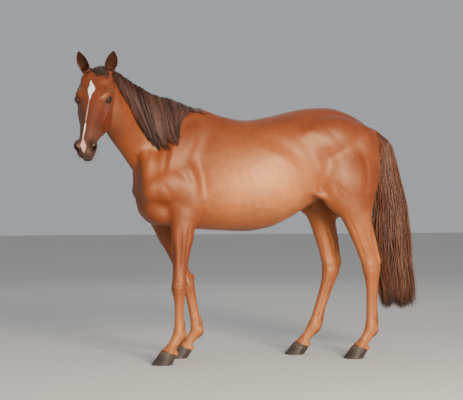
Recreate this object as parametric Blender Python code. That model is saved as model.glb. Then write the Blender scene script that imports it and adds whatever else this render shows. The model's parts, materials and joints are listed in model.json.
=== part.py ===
"""A standing chestnut horse at life size, as still solids: trunk, neck, head, ears, eyes, legs, hooves, mane, forelock and tail.

The flesh is one skin melted together from lofted profiles, ellipsoids for the muscles and tubes for tendons, then parted
with thin cuts. Metres, +Z up, nose towards -Y, +X to the horse's left.
"""
import bpy
import bmesh
import math
import numpy as np
from mathutils import Matrix, Vector

# ---------------------------------------------------------------- helpers


def remove_all():
    for obj in list(bpy.data.objects):
        bpy.data.objects.remove(obj)


def hermite(keys, values, at):
    """Smooth curve through (keys, values), without overshoot between two keys."""
    keys, values = np.asarray(keys, float), np.asarray(values, float)
    at = np.clip(np.asarray(at, float), keys[0], keys[-1])
    step = np.diff(keys)
    slope = np.diff(values) / step
    tangent = np.zeros(len(keys))
    tangent[0], tangent[-1] = slope[0], slope[-1]
    for i in range(1, len(keys) - 1):
        a, b = slope[i - 1], slope[i]
        if a * b > 0:
            w1, w2 = 2 * step[i] + step[i - 1], step[i] + 2 * step[i - 1]
            tangent[i] = (w1 + w2) / (w1 / a + w2 / b)
    i = np.clip(np.searchsorted(keys, at, "right") - 1, 0, len(step) - 1)
    h, s = step[i], (at - keys[i]) / step[i]
    return (
        values[i] * (1 + 2 * s) * (1 - s) ** 2
        + h * tangent[i] * s * (1 - s) ** 2
        + values[i + 1] * s * s * (3 - 2 * s)
        + h * tangent[i + 1] * s * s * (s - 1)
    )


def table_at(table, count):
    """A table whose first column is a position along the part, read at evenly spaced positions."""
    rows = np.array(table, float)
    at = np.linspace(rows[0, 0], rows[-1, 0], count)
    return [at] + [hermite(rows[:, 0], rows[:, k], at) for k in range(1, rows.shape[1])]


def section(centre, side, up, w, hu, hd, nu=2.0, nd=2.0, count=40):
    """A closed ring: half-width w along side, hu above the centre and hd below it, with the roundness of each half."""
    ring = []
    for i in range(count):
        t = 2 * math.pi * i / count
        c, s = math.cos(t), math.sin(t)
        n = nu if s > 0 else nd
        a = math.copysign(abs(c) ** (2 / n), c) * w
        b = math.copysign(abs(s) ** (2 / n), s) * (hu if s > 0 else hd)
        ring.append(centre + side * a + up * b)
    return ring


def loft(bm, rings):
    """Bridges each ring to the next and closes both ends."""
    made = [[bm.verts.new(p) for p in ring] for ring in rings]
    n = len(made[0])
    for a, b in zip(made, made[1:]):
        for i in range(n):
            bm.faces.new((a[i], a[(i + 1) % n], b[(i + 1) % n], b[i]))
    for ring in (made[0], made[-1]):
        middle = bm.verts.new(sum((v.co for v in ring), Vector()) / n)
        for i in range(n):
            bm.faces.new((ring[i], ring[(i + 1) % n], middle))


def blob(bm, centre, radii, turn=(0, 0, 0), place=None):
    """A muscle or bone as an ellipsoid; turn is in degrees about X, Y and Z."""
    m = Matrix.Translation(centre)
    m = m @ Matrix.Rotation(math.radians(turn[2]), 4, "Z")
    m = m @ Matrix.Rotation(math.radians(turn[1]), 4, "Y")
    m = m @ Matrix.Rotation(math.radians(turn[0]), 4, "X")
    m = m @ Matrix.Diagonal((*radii, 1))
    if place is not None:
        m = place @ m
    bmesh.ops.create_icosphere(bm, subdivisions=4 if max(radii) > 0.08 else 3, radius=1, matrix=m)


def smooth_path(points, count):
    """Catmull-Rom curve through the points, evenly read."""
    p = [Vector(q) for q in points]
    p = [2 * p[0] - p[1]] + p + [2 * p[-1] - p[-2]]
    found = []
    spans = len(p) - 3
    for k in range(count):
        x = k / (count - 1) * spans
        i = min(int(x), spans - 1)
        t = x - i
        a, b, c, d = p[i : i + 4]
        found.append(
            0.5
            * (
                2 * b
                + (c - a) * t
                + (2 * a - 5 * b + 4 * c - d) * t * t
                + (3 * b - a - 3 * c + d) * t**3
            )
        )
    return found


def strap(bm, points, radii, flat=1.0, lateral=Vector((1, 0, 0)), count=24, place=None):
    """A tendon, ridge or strap of muscle: a tube along a curve, with the radius given at each of its points."""
    line = smooth_path(points, count)
    r = hermite(np.linspace(0, 1, len(radii)), radii, np.linspace(0, 1, count))
    rings = []
    for k, p in enumerate(line):
        along = (line[min(k + 1, count - 1)] - line[max(k - 1, 0)]).normalized()
        up = along.cross(lateral).normalized()
        side = up.cross(along).normalized()
        rings.append(section(p, side * flat, up, r[k], r[k], r[k], count=20))
    if place is not None:
        rings = [[place @ p for p in ring] for ring in rings]
    loft(bm, rings)


def to_object(bm, name):
    bmesh.ops.recalc_face_normals(bm, faces=bm.faces)
    mesh = bpy.data.meshes.new(name)
    bm.to_mesh(mesh)
    bm.free()
    obj = bpy.data.objects.new(name, mesh)
    bpy.context.scene.collection.objects.link(obj)
    return obj


def applied(obj):
    """Replaces the object's mesh with the evaluated one, modifiers applied."""
    graph = bpy.context.evaluated_depsgraph_get()
    graph.update()
    made = bpy.data.meshes.new_from_object(obj.evaluated_get(graph))
    old = obj.data
    obj.modifiers.clear()
    obj.data = made
    bpy.data.meshes.remove(old)
    return obj


def coords(obj):
    co = np.empty(len(obj.data.vertices) * 3, np.float32)
    obj.data.vertices.foreach_get("co", co)
    return co.reshape(-1, 3).astype(float)


def normals(obj):
    no = np.empty(len(obj.data.vertices) * 3, np.float32)
    obj.data.vertices.foreach_get("normal", no)
    return no.reshape(-1, 3).astype(float)


def set_coords(obj, co):
    obj.data.vertices.foreach_set("co", co.astype(np.float32).ravel())
    obj.data.update()


def fuse(obj, voxel):
    """Melts overlapping closed forms into one skin."""
    m = obj.modifiers.new("fuse", "REMESH")
    m.mode, m.voxel_size, m.adaptivity = "VOXEL", voxel, 0
    m.use_smooth_shade = True
    return applied(obj)


def weighted_smooth(obj, weights, repeat, factor=0.5):
    """Laplacian smoothing of the chosen vertices only."""
    group = obj.vertex_groups.new(name="soft")
    level = np.round(np.clip(weights, 0, 1) * 20).astype(int)
    for k in range(1, 21):
        found = np.flatnonzero(level == k)
        if len(found):
            group.add(found.tolist(), k / 20, "REPLACE")
    m = obj.modifiers.new("soften", "SMOOTH")
    m.factor, m.iterations, m.vertex_group = factor, repeat, "soft"
    applied(obj)
    obj.vertex_groups.clear()
    return obj


def near_ball(co, centre, radius, edge=0.5):
    """1 inside the ball, falling to 0 over its outer part."""
    d = np.linalg.norm((co - np.array(centre, float)), axis=1) / radius
    t = np.clip((1 - d) / edge, 0, 1)
    return t * t * (3 - 2 * t)

# ---------------------------------------------------------------- the horse
# X points to the horse's left, -Y is forward and Z is up, in metres. Its weight is on all four feet, the right
# foreleg a little back and the right hind leg forward, and its head is turned to its left.

TRUNK = (  # y, z of the back, z of the widest place, z of the underside, half width, roundness above, below
    (-0.745, 1.120, 1.020, 0.950, 0.050, 2.0, 2.0),
    (-0.710, 1.210, 1.020, 0.885, 0.120, 2.0, 2.0),
    (-0.630, 1.340, 1.020, 0.835, 0.165, 2.0, 2.0),
    (-0.500, 1.470, 1.030, 0.805, 0.190, 1.70, 1.9),
    (-0.370, 1.535, 1.040, 0.797, 0.212, 1.45, 1.85),
    (-0.240, 1.492, 1.050, 0.790, 0.248, 1.70, 2.0),
    (-0.080, 1.462, 1.060, 0.783, 0.280, 2.0, 2.1),
    (0.060, 1.484, 1.080, 0.803, 0.286, 2.1, 2.1),
    (0.200, 1.518, 1.120, 0.862, 0.268, 2.1, 2.0),
    (0.330, 1.543, 1.180, 0.940, 0.240, 2.1, 2.0),
    (0.450, 1.547, 1.220, 0.985, 0.228, 2.1, 2.0),
    (0.580, 1.512, 1.220, 1.000, 0.212, 2.1, 2.0),
    (0.700, 1.445, 1.220, 1.030, 0.165, 2.0, 2.0),
    (0.765, 1.385, 1.230, 1.090, 0.100, 2.0, 2.0),
    (0.790, 1.335, 1.240, 1.150, 0.045, 2.0, 2.0),
)

NECK = (  # crest, throat, half width
    ((0.000, -0.330, 1.500), (0.000, -0.560, 0.930), 0.165),
    ((0.000, -0.420, 1.535), (0.000, -0.690, 1.000), 0.150),
    ((0.006, -0.520, 1.560), (0.008, -0.740, 1.100), 0.120),
    ((0.028, -0.630, 1.596), (0.032, -0.790, 1.176), 0.103),
    ((0.072, -0.740, 1.645), (0.078, -0.843, 1.245), 0.094),
    ((0.122, -0.840, 1.697), (0.132, -0.895, 1.306), 0.088),
    ((0.162, -0.918, 1.730), (0.175, -0.942, 1.366), 0.082),
    ((0.188, -0.970, 1.730), (0.205, -0.980, 1.410), 0.068),
)

# Joint centres of each leg, top to bottom (elbow or stifle, knee or hock, fetlock, coronet), and how far the leg is
# turned out below its middle and at the foot, in degrees.
LEGS = {
    "foreleg_left": (((0.150, -0.490, 0.850), (0.145, -0.517, 0.456), (0.150, -0.517, 0.182), (0.182, -0.588, 0.076)), 20, 24),
    "foreleg_right": (((-0.150, -0.545, 0.850), (-0.130, -0.400, 0.466), (-0.125, -0.345, 0.178), (-0.131, -0.416, 0.076)), -3, -5),
    "hindleg_left": (((0.165, 0.560, 0.930), (0.150, 0.690, 0.555), (0.145, 0.690, 0.186), (0.153, 0.615, 0.076)), 5, 7),
    "hindleg_right": (((-0.165, 0.455, 0.930), (-0.145, 0.530, 0.545), (-0.135, 0.412, 0.186), (-0.144, 0.336, 0.076)), -5, -7),
}
ORIGIN = (0.1493, -0.0869)  # what becomes x = 0, y = 0
GROUND = 0.012  # height of the floor in these coordinates
CORONET_TILT = 19.5  # the hoof's upper rim, higher at the toe, in degrees

FORE = (  # place on the leg (0 elbow, 1 knee, 2 fetlock, 3 coronet), depth ahead of its line, behind it, half width, squareness
    (-0.28, 0.100, 0.105, 0.050, 2.1),
    (0.00, 0.083, 0.085, 0.056, 2.1),
    (0.15, 0.073, 0.074, 0.057, 2.1),
    (0.35, 0.060, 0.062, 0.052, 2.1),
    (0.55, 0.050, 0.053, 0.045, 2.1),
    (0.75, 0.042, 0.045, 0.039, 2.1),
    (0.88, 0.040, 0.043, 0.040, 2.3),
    (1.00, 0.043, 0.044, 0.044, 2.6),
    (1.09, 0.040, 0.042, 0.041, 2.5),
    (1.18, 0.032, 0.038, 0.034, 2.2),
    (1.35, 0.026, 0.036, 0.028, 2.0),
    (1.60, 0.024, 0.035, 0.0262, 2.0),
    (1.80, 0.026, 0.037, 0.029, 2.0),
    (1.92, 0.032, 0.042, 0.034, 2.2),
    (2.02, 0.035, 0.044, 0.036, 2.2),
    (2.25, 0.031, 0.036, 0.032, 2.1),
    (2.55, 0.028, 0.031, 0.030, 2.1),
    (2.80, 0.032, 0.033, 0.036, 2.1),
    (3.05, 0.043, 0.042, 0.047, 2.2),
)

HIND = (
    (-0.45, 0.150, 0.160, 0.090, 2.1),
    (0.00, 0.098, 0.128, 0.080, 2.1),
    (0.20, 0.079, 0.106, 0.071, 2.1),
    (0.45, 0.064, 0.078, 0.058, 2.1),
    (0.70, 0.053, 0.057, 0.046, 2.1),
    (0.87, 0.050, 0.052, 0.042, 2.3),
    (1.00, 0.052, 0.052, 0.044, 2.6),
    (1.09, 0.046, 0.050, 0.042, 2.4),
    (1.22, 0.036, 0.043, 0.034, 2.1),
    (1.50, 0.030, 0.039, 0.0285, 2.0),
    (1.82, 0.030, 0.040, 0.031, 2.0),
    (1.93, 0.035, 0.044, 0.036, 2.2),
    (2.02, 0.037, 0.046, 0.038, 2.2),
    (2.25, 0.032, 0.038, 0.033, 2.1),
    (2.55, 0.029, 0.032, 0.031, 2.1),
    (2.80, 0.032, 0.034, 0.036, 2.1),
    (3.05, 0.043, 0.042, 0.046, 2.2),
)

POLL = Vector((0.197, -1.007, 1.725))  # the head's own origin, just under the skin between the ears
HEAD_PITCH, HEAD_YAW, HEAD_ROLL = 41.5, 70.0, 0.0  # nose down, nose to the left, tilt

SKULL = (  # in the head's own frame, nose along -Y: y, z of the profile, z of the widest place, z below, half width, roundness
    (-0.622, -0.124, -0.136, -0.150, 0.016, 2.0, 2.0),
    (-0.614, -0.106, -0.132, -0.156, 0.033, 2.0, 2.0),
    (-0.592, -0.088, -0.124, -0.160, 0.047, 2.1, 2.1),
    (-0.550, -0.068, -0.112, -0.162, 0.052, 2.2, 2.2),
    (-0.500, -0.050, -0.106, -0.166, 0.048, 2.1, 2.3),
    (-0.440, -0.033, -0.101, -0.172, 0.051, 2.1, 2.3),
    (-0.380, -0.019, -0.094, -0.182, 0.060, 2.1, 2.3),
    (-0.320, -0.007, -0.086, -0.192, 0.073, 2.2, 2.3),
    (-0.270, 0.002, -0.074, -0.200, 0.087, 2.3, 2.3),
    (-0.220, 0.010, -0.064, -0.205, 0.096, 2.3, 2.3),
    (-0.175, 0.016, -0.056, -0.205, 0.101, 2.2, 2.3),
    (-0.118, 0.019, -0.054, -0.200, 0.101, 2.2, 2.2),
    (-0.058, 0.018, -0.056, -0.185, 0.095, 2.1, 2.0),
    (0.000, 0.010, -0.060, -0.160, 0.082, 2.1, 2.0),
    (0.038, -0.008, -0.068, -0.135, 0.056, 2.0, 2.0),
)

JAW = (
    (-0.600, -0.146, -0.158, -0.172, 0.014, 2.0, 2.0),
    (-0.590, -0.138, -0.164, -0.190, 0.031, 2.0, 2.0),
    (-0.560, -0.126, -0.165, -0.200, 0.040, 2.0, 2.0),
    (-0.525, -0.116, -0.158, -0.190, 0.038, 2.0, 2.0),
    (-0.470, -0.100, -0.150, -0.190, 0.041, 2.2, 2.2),
    (-0.400, -0.090, -0.150, -0.210, 0.052, 2.4, 2.4),
    (-0.335, -0.080, -0.156, -0.236, 0.065, 2.4, 2.6),
    (-0.275, -0.070, -0.162, -0.262, 0.075, 2.4, 2.8),
    (-0.215, -0.060, -0.168, -0.282, 0.081, 2.4, 2.8),
    (-0.150, -0.060, -0.168, -0.288, 0.081, 2.4, 2.6),
    (-0.085, -0.070, -0.160, -0.262, 0.071, 2.2, 2.2),
    (-0.032, -0.090, -0.152, -0.208, 0.046, 2.0, 2.0),
)

EYE = Vector((0.0830, -0.222, -0.044))  # centre of the left eyeball in the head's frame
EYE_RADIUS = 0.0205
EYE_LOOK = Vector((0.760, -0.600, 0.250))  # the way its opening faces
EAR_ROOT = Vector((0.066, -0.010, 0.000))
EAR_AXIS = Vector((0.36, 0.42, 0.84))
EAR_SWING = -0.01  # both tips carried a little to the right
EAR_LENGTH = 0.126

X, Y, Z = Vector((1, 0, 0)), Vector((0, 1, 0)), Vector((0, 0, 1))
HEAD = (
    Matrix.Translation(POLL)
    @ Matrix.Rotation(math.radians(HEAD_YAW), 4, "Z")
    @ Matrix.Rotation(math.radians(HEAD_PITCH), 4, "X")
    @ Matrix.Rotation(math.radians(HEAD_ROLL), 4, "Y")
)


def level_loft(bm, table, count, place=None, ring=40):
    """A form lofted along Y from its profile table."""
    rings = []
    for y, top, wide, low, w, nu, nd in zip(*table_at(table, count)):
        r = section(Vector((0, y, wide)), X, Z, w, top - wide, wide - low, nu, nd, ring)
        rings.append([place @ p for p in r] if place is not None else r)
    loft(bm, rings)


def neck_loft(bm, count=30):
    crest = smooth_path([k[0] for k in NECK], count)
    throat = smooth_path([k[1] for k in NECK], count)
    width = hermite(np.linspace(0, 1, len(NECK)), [k[2] for k in NECK], np.linspace(0, 1, count))
    rings = []
    for k in range(count):
        a, b = max(k - 1, 0), min(k + 1, count - 1)
        along = ((crest[b] + throat[b]) - (crest[a] + throat[a])).normalized()
        up = (crest[k] - throat[k]).normalized()
        side = along.cross(up).normalized()
        height = (crest[k] - throat[k]).length
        rings.append(section(throat[k] + up * height * 0.42, side, up, width[k], height * 0.58, height * 0.42, 1.55, 1.9))
    loft(bm, rings)


def leg_row(leg, t):
    """The leg's line at place t: centre, side, front and down directions. Side points away from the horse's middle."""
    joints, turn_mid, turn_foot = leg
    j = [Vector(p) for p in joints]
    j = [2 * j[0] - j[1]] + j + [2 * j[3] - j[2]]
    x = min(max(t + 1, 0), 4.999)
    i = int(x)
    f = x - i
    p = j[i].lerp(j[i + 1], f)
    down = (j[i + 1] - j[i]).normalized()
    bend = 0.15
    if f < bend and i > 0:
        before = (j[i] - j[i - 1]).normalized()
        down = before.lerp(down, 0.5 + 0.5 * f / bend).normalized()
    elif f > 1 - bend and i < 4:
        after = (j[i + 2] - j[i + 1]).normalized() if i < 4 and i + 2 < len(j) else down
        down = down.lerp(after, 0.5 * (f - 1 + bend) / bend).normalized()
    turn = math.radians(float(np.interp(t, (0.5, 1.0, 2.0), (0, turn_mid, turn_foot))))
    front = Vector((math.sin(turn), -math.cos(turn), 0))
    front = (front - down * front.dot(down)).normalized()
    side = down.cross(front).normalized()
    if side.x * joints[0][0] < 0:
        side.negate()
    return p, side, front, down


def leg_at(leg, t, front=0.0, out=0.0):
    p, side, fr, _ = leg_row(leg, t)
    return p + fr * front + side * out


def leg_loft(bm, leg, table, count=80):
    rows = np.array(table, float)
    rings = []
    for t in np.linspace(rows[0, 0], rows[-1, 0], count):
        f, b, w, n = (float(hermite(rows[:, 0], rows[:, k], t)) for k in (1, 2, 3, 4))
        p, side, front, _ = leg_row(leg, t)
        rings.append(section(p, side, front, w, f, b, n, n, 32))
    loft(bm, rings)


def body_forms(bm):
    """Trunk, neck and the big muscles of shoulder and hindquarter."""
    level_loft(bm, TRUNK, 60, ring=56)
    neck_loft(bm)
    for s, fore, hind in ((1, "foreleg_left", "hindleg_left"), (-1, "foreleg_right", "hindleg_right")):
        elbow = Vector(LEGS[fore][0][0])
        stifle = Vector(LEGS[hind][0][0])
        # shoulder blade and the muscles on it, from the withers to the point of the shoulder
        blob(bm, (s * 0.112, -0.520, 1.235), (0.070, 0.115, 0.255), (-38, -s * 13, 0))
        blob(bm, (s * 0.140, -0.676, 1.045), (0.068, 0.068, 0.085), (-20, 0, 0))
        blob(bm, (s * 0.165, -0.560, 1.060), (0.062, 0.140, 0.110), (15, 0, 0))
        # the three-headed muscle behind the shoulder, down to the elbow
        blob(bm, (s * 0.160, -0.455, 1.045), (0.064, 0.105, 0.185), (14, -s * 4, 0))
        blob(bm, (elbow.x + s * 0.004, elbow.y + 0.010, 0.900), (0.058, 0.090, 0.110))
        # breast
        blob(bm, (s * 0.066, -0.646, 0.985), (0.090, 0.082, 0.130), (-12, 0, 0))
        blob(bm, (s * 0.085, -0.590, 0.890), (0.075, 0.100, 0.070))
        # side of the neck running into the shoulder
        strap(bm, [(s * 0.060, -0.700, 1.300), (s * 0.105, -0.690, 1.190), (s * 0.135, -0.690, 1.080)], [0.050, 0.062, 0.050])
        # hindquarter: rump, point of the hip, thigh, stifle
        blob(bm, (s * 0.115, 0.410, 1.320), (0.138, 0.270, 0.170), (6, 0, 0))
        blob(bm, (s * 0.198, 0.275, 1.365), (0.045, 0.065, 0.055), (20, 0, 0))
        blob(bm, (s * 0.130, 0.590, 1.250), (0.105, 0.160, 0.200), (-10, 0, 0))
        hip = Vector((s * 0.150, 0.500, 1.250))
        mid = hip.lerp(stifle, 0.45)
        blob(bm, (s * 0.165, mid.y + 0.005, 1.115), (0.100, 0.200, 0.250), (4, 0, 0))
        blob(bm, (s * 0.185, stifle.y - 0.060, 0.975), (0.062, 0.075, 0.095), (-12, 0, 0))
        # hamstrings, from the point of the buttock down the back of the thigh
        back = stifle.y - 0.56
        strap(
            bm,
            [(s * 0.095, 0.680, 1.300), (s * 0.112, 0.693 + back * 0.2, 1.180), (s * 0.135, 0.660 + back * 0.5, 1.020),
             (s * 0.145, 0.635 + back * 0.8, 0.880)],
            [0.070, 0.070, 0.066, 0.055], 1.1,
        )
        # fold of the flank
        strap(bm, [(s * 0.205, 0.270, 1.060), (s * 0.198, 0.330, 1.010), (s * 0.190, stifle.y - 0.110, 0.960)], [0.026, 0.022, 0.024])


def leg_forms(bm, name):
    leg = LEGS[name]
    fore = name.startswith("fore")
    leg_loft(bm, leg, FORE if fore else HIND)

    def at(t, f=0.0, o=0.0):
        return leg_at(leg, t, f, o)

    down = leg_row(leg, 0.5)[3]
    lean = math.degrees(math.atan2(down.y, -down.z))
    if fore:
        # extensor and flexor bellies of the forearm
        blob(bm, at(0.16, 0.026, 0.016), (0.038, 0.046, 0.120), (lean, 0, 0))
        blob(bm, at(0.18, -0.030, 0.008), (0.040, 0.042, 0.115), (lean, 0, 0))
        strap(bm, [at(-0.12, 0.01, -0.03), at(0.25, 0.0, -0.022), at(0.60, 0.0, -0.012)], [0.040, 0.034, 0.022])
        # point of the elbow
        blob(bm, at(-0.10, -0.085, 0.010), (0.026, 0.032, 0.045))
        # knee: pad in front, accessory bone behind
        blob(bm, at(0.97, 0.024, 0.0), (0.036, 0.022, 0.040))
        blob(bm, at(0.95, -0.040, 0.006), (0.016, 0.020, 0.032))
        blob(bm, at(0.90, 0.0, 0.024), (0.020, 0.030, 0.022))
        blob(bm, at(0.90, 0.0, -0.024), (0.020, 0.030, 0.022))
        strap(bm, [at(0.92, -0.036), at(1.2, -0.032), at(1.6, -0.029), at(1.96, -0.034)], [0.018, 0.0125, 0.0120, 0.016])
    else:
        # second thigh
        blob(bm, at(0.14, -0.030, 0.020), (0.050, 0.075, 0.150), (lean * 0.4, 0, 0))
        blob(bm, at(0.20, 0.022, 0.018), (0.042, 0.045, 0.140), (lean, 0, 0))
        blob(bm, at(0.16, -0.020, -0.022), (0.042, 0.070, 0.130), (lean * 0.5, 0, 0))
        # great tendon down to the point of the hock, then the back of the cannon
        strap(bm, [at(0.35, -0.078), at(0.62, -0.072), at(0.82, -0.066), at(0.91, -0.063)], [0.020, 0.0155, 0.0150, 0.019])
        blob(bm, at(0.92, -0.056), (0.019, 0.024, 0.030))
        strap(bm, [at(0.90, -0.058), at(1.05, -0.047), at(1.3, -0.037), at(1.7, -0.034), at(1.96, -0.038)], [0.019, 0.016, 0.0135, 0.0125, 0.017])
        blob(bm, at(1.00, 0.010, 0.022), (0.022, 0.034, 0.028))
        blob(bm, at(1.02, 0.010, -0.022), (0.023, 0.034, 0.030))
        blob(bm, at(0.95, 0.030, 0.0), (0.030, 0.024, 0.045))
    # fetlock: the two bones behind it, and the ergot's tuft
    for o in (-0.016, 0.016):
        blob(bm, at(1.97, -0.026, o), (0.017, 0.021, 0.027))
    # bulbs above the heel
    for o in (-0.020, 0.020):
        blob(bm, at(2.86, -0.030, o), (0.020, 0.022, 0.022))


def head_forms(bm):
    """The head in its own frame: skull, jaw, cheeks, orbits, nostril wings, lips and chin."""
    level_loft(bm, SKULL, 70, HEAD, 48)
    level_loft(bm, JAW, 60, HEAD, 40)
    for s in (1, -1):
        # cheek
        blob(bm, (s * 0.044, -0.150, -0.165), (0.043, 0.115, 0.105), (0, 0, 0), HEAD)
        # temple, brow, lids and the bony rim behind the eye
        blob(bm, (s * 0.040, -0.075, -0.022), (0.054, 0.100, 0.042), (0, 0, 0), HEAD)
        blob(bm, (s * 0.070, -0.200, -0.028), (0.036, 0.065, 0.034), (0, 0, s * 6), HEAD)
        blob(bm, (s * 0.082, -0.222, -0.044), (0.0270, 0.038, 0.0275), (0, 0, s * 6), HEAD)
        strap(bm, [(s * 0.092, -0.178, -0.050), (s * 0.094, -0.110, -0.052), (s * 0.078, -0.035, -0.055)], [0.015, 0.015, 0.017], place=HEAD)
        # facial crest
        strap(bm, [(s * 0.082, -0.232, -0.090), (s * 0.068, -0.310, -0.103), (s * 0.051, -0.380, -0.112)], [0.015, 0.012, 0.007], place=HEAD)
        # nostril wing, upper lip, corner of the mouth
        blob(bm, (s * 0.043, -0.564, -0.099), (0.0230, 0.041, 0.031), (-22, 0, s * 8), HEAD)
        strap(bm, [(s * 0.014, -0.614, -0.144), (s * 0.035, -0.586, -0.146), (s * 0.039, -0.530, -0.144)], [0.015, 0.016, 0.013], place=HEAD)
        blob(bm, (s * 0.032, -0.015, -0.080), (0.042, 0.056, 0.070), (0, 0, 0), HEAD)
    # upper lip and chin
    blob(bm, (0, -0.592, -0.126), (0.045, 0.030, 0.030), (0, 0, 0), HEAD)
    blob(bm, (0, -0.562, -0.188), (0.034, 0.034, 0.020), (0, 0, 0), HEAD)
    # throat between the jaws, and the way from the poll into the neck
    blob(bm, (0, -0.120, -0.165), (0.060, 0.130, 0.075), (0, 0, 0), HEAD)
    blob(bm, (0, 0.020, -0.066), (0.056, 0.070, 0.062), (20, 0, 0), HEAD)


def throat_forms(bm):
    """The meeting of head and neck."""
    back = HEAD @ Vector((0, 0.01, -0.10))
    blob(bm, back, (0.070, 0.080, 0.120), (0, 0, 0))


TAIL = (  # z, y of the middle, half depth, half width
    (1.408, 0.742, 0.020, 0.034),
    (1.385, 0.778, 0.030, 0.038),
    (1.352, 0.818, 0.036, 0.041),
    (1.310, 0.848, 0.038, 0.042),
    (1.240, 0.864, 0.044, 0.046),
    (1.150, 0.870, 0.058, 0.056),
    (1.050, 0.873, 0.076, 0.068),
    (0.900, 0.878, 0.101, 0.082),
    (0.780, 0.880, 0.115, 0.089),
    (0.600, 0.890, 0.116, 0.090),
    (0.455, 0.912, 0.109, 0.083),
    (0.350, 0.916, 0.096, 0.072),
    (0.306, 0.914, 0.080, 0.060),
)

MANE = (  # place along the neck (0 withers, 1 poll), how far the hair falls, how far its tip lies back, thickness of the hang
    (0.040, 0.020, 0.010, 0.008),
    (0.140, 0.040, 0.015, 0.011),
    (0.215, 0.070, 0.010, 0.014),
    (0.250, 0.140, -0.004, 0.018),
    (0.285, 0.235, -0.012, 0.022),
    (0.355, 0.290, -0.008, 0.024),
    (0.430, 0.325, 0.000, 0.025),
    (0.500, 0.330, 0.012, 0.025),
    (0.570, 0.310, 0.022, 0.024),
    (0.640, 0.255, 0.020, 0.022),
    (0.715, 0.185, 0.012, 0.020),
    (0.780, 0.110, 0.008, 0.017),
    (0.830, 0.065, 0.004, 0.013),
)


def hoof_rings(name, steps=6, count=28, drop=0.0, grow=0.0):
    """Rings of a hoof, from the ground to its upper rim."""
    joints, _, turn = LEGS[name]
    turn = math.radians(turn)
    front = Vector((math.sin(turn), -math.cos(turn), 0))
    side = front.cross(Z).normalized()
    if side.x * joints[0][0] < 0:
        side.negate()
    base = Vector((joints[3][0], joints[3][1], GROUND))
    tilt = math.tan(math.radians(CORONET_TILT))
    rim = joints[3][2] - GROUND
    rings = []
    for k in range(steps):
        a = k / (steps - 1)
        ring = []
        for i in range(count):
            t = 2 * math.pi * i / count
            c, s = math.cos(t), math.sin(t)
            toe = max(c, 0)
            # ground outline: round toe, narrower straight heels
            low_f = 0.0450 + 0.0630 * c
            low_s = 0.0620 * s * (1 - 0.10 * max(-c, 0) ** 2)
            top_f = -0.0030 + 0.0465 * c
            top_s = 0.0455 * s
            f = low_f + (top_f - low_f) * a
            w = low_s + (top_s - low_s) * a
            z = (rim + top_f * tilt - drop) * a
            ring.append(base + front * (f + grow * c) + side * (w + grow * s) + Z * z)
        rings.append(ring)
    return rings


def ear_rings(s, steps=14, count=20):
    """Rings of an ear as one solid leaf, in the world; s is 1 for the left ear."""
    root = Vector((s * EAR_ROOT.x, EAR_ROOT.y, EAR_ROOT.z))
    axis = Vector((s * EAR_AXIS.x + EAR_SWING, EAR_AXIS.y, EAR_AXIS.z)).normalized()
    face = Vector((s * 0.30, -0.85, 0.40))  # the way the hollow looks
    face = (face - axis * face.dot(axis)).normalized()
    wide = axis.cross(face).normalized()
    place = np.linspace(-0.12, 1, steps)
    width = hermite((-0.12, 0.0, 0.18, 0.42, 0.66, 0.85, 0.95, 1), (0.021, 0.0250, 0.0325, 0.0355, 0.0290, 0.0165, 0.0085, 0.0020), place)
    thick = hermite((-0.12, 0.0, 0.20, 0.45, 0.70, 0.90, 1), (0.022, 0.0230, 0.0200, 0.0150, 0.0100, 0.0052, 0.0016), place)
    rings = []
    for t, w, h in zip(place, width, thick):
        centre = root + axis * (t * EAR_LENGTH) + face * (0.010 * t * t) - wide * (s * 0.0 * t)
        centre -= Vector((s, 0, 0)) * (0.010 * max(t, 0) ** 3)
        ring = section(centre, wide, face, w, h, h, 2.0, 2.0, count)
        rings.append([HEAD @ p for p in ring])
    return rings

# ---------------------------------------------------------------- solids

GAP = 0.0004  # clearance between two pieces that touch
VOXEL = 0.008
TRIANGLES = 4800  # of the whole skin before it is parted


def material(name, colour, roughness, metallic=0.0):
    m = bpy.data.materials.new(name)
    m.use_nodes = True
    shader = m.node_tree.nodes["Principled BSDF"]
    shader.inputs["Base Color"].default_value = (*colour, 1)
    shader.inputs["Roughness"].default_value = roughness
    shader.inputs["Metallic"].default_value = metallic
    return m


def helper_box(low, high, place=None):
    """A cutter: an upright box, or one set in its own frame."""
    bm = bmesh.new()
    bmesh.ops.create_cube(bm, size=1)
    low, high = Vector(low), Vector(high)
    for v in bm.verts:
        v.co = Vector([low[k] + (high[k] - low[k]) * (v.co[k] + 0.5) for k in range(3)])
        if place is not None:
            v.co = place @ v.co
    return to_object(bm, "cutter")


def boolean(obj, cutter, operation):
    m = obj.modifiers.new("cut", "BOOLEAN")
    m.operation, m.object, m.solver = operation, cutter, "EXACT"
    return applied(obj)


def duplicate(obj, name):
    copy = bpy.data.objects.new(name, obj.data.copy())
    bpy.context.scene.collection.objects.link(copy)
    return copy


def drop(obj):
    bpy.data.objects.remove(obj)


def swollen(obj, by):
    """A copy pushed out along its normals, for cutting a neighbour clear of it."""
    copy = duplicate(obj, "swollen")
    set_coords(copy, coords(copy) + normals(copy) * by)
    return copy


def part_off(whole, name, low, high, place=None):
    """Splits the piece inside the box from the rest, with a gap between them. Returns (piece, rest)."""
    piece = duplicate(whole, name)
    inner = helper_box(low, high, place)
    boolean(piece, inner, "INTERSECT")
    drop(inner)
    pad = Vector((GAP, GAP, GAP))
    outer = helper_box(Vector(low) - pad, Vector(high) + pad, place)
    boolean(whole, outer, "DIFFERENCE")
    drop(outer)
    return piece, whole


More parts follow.
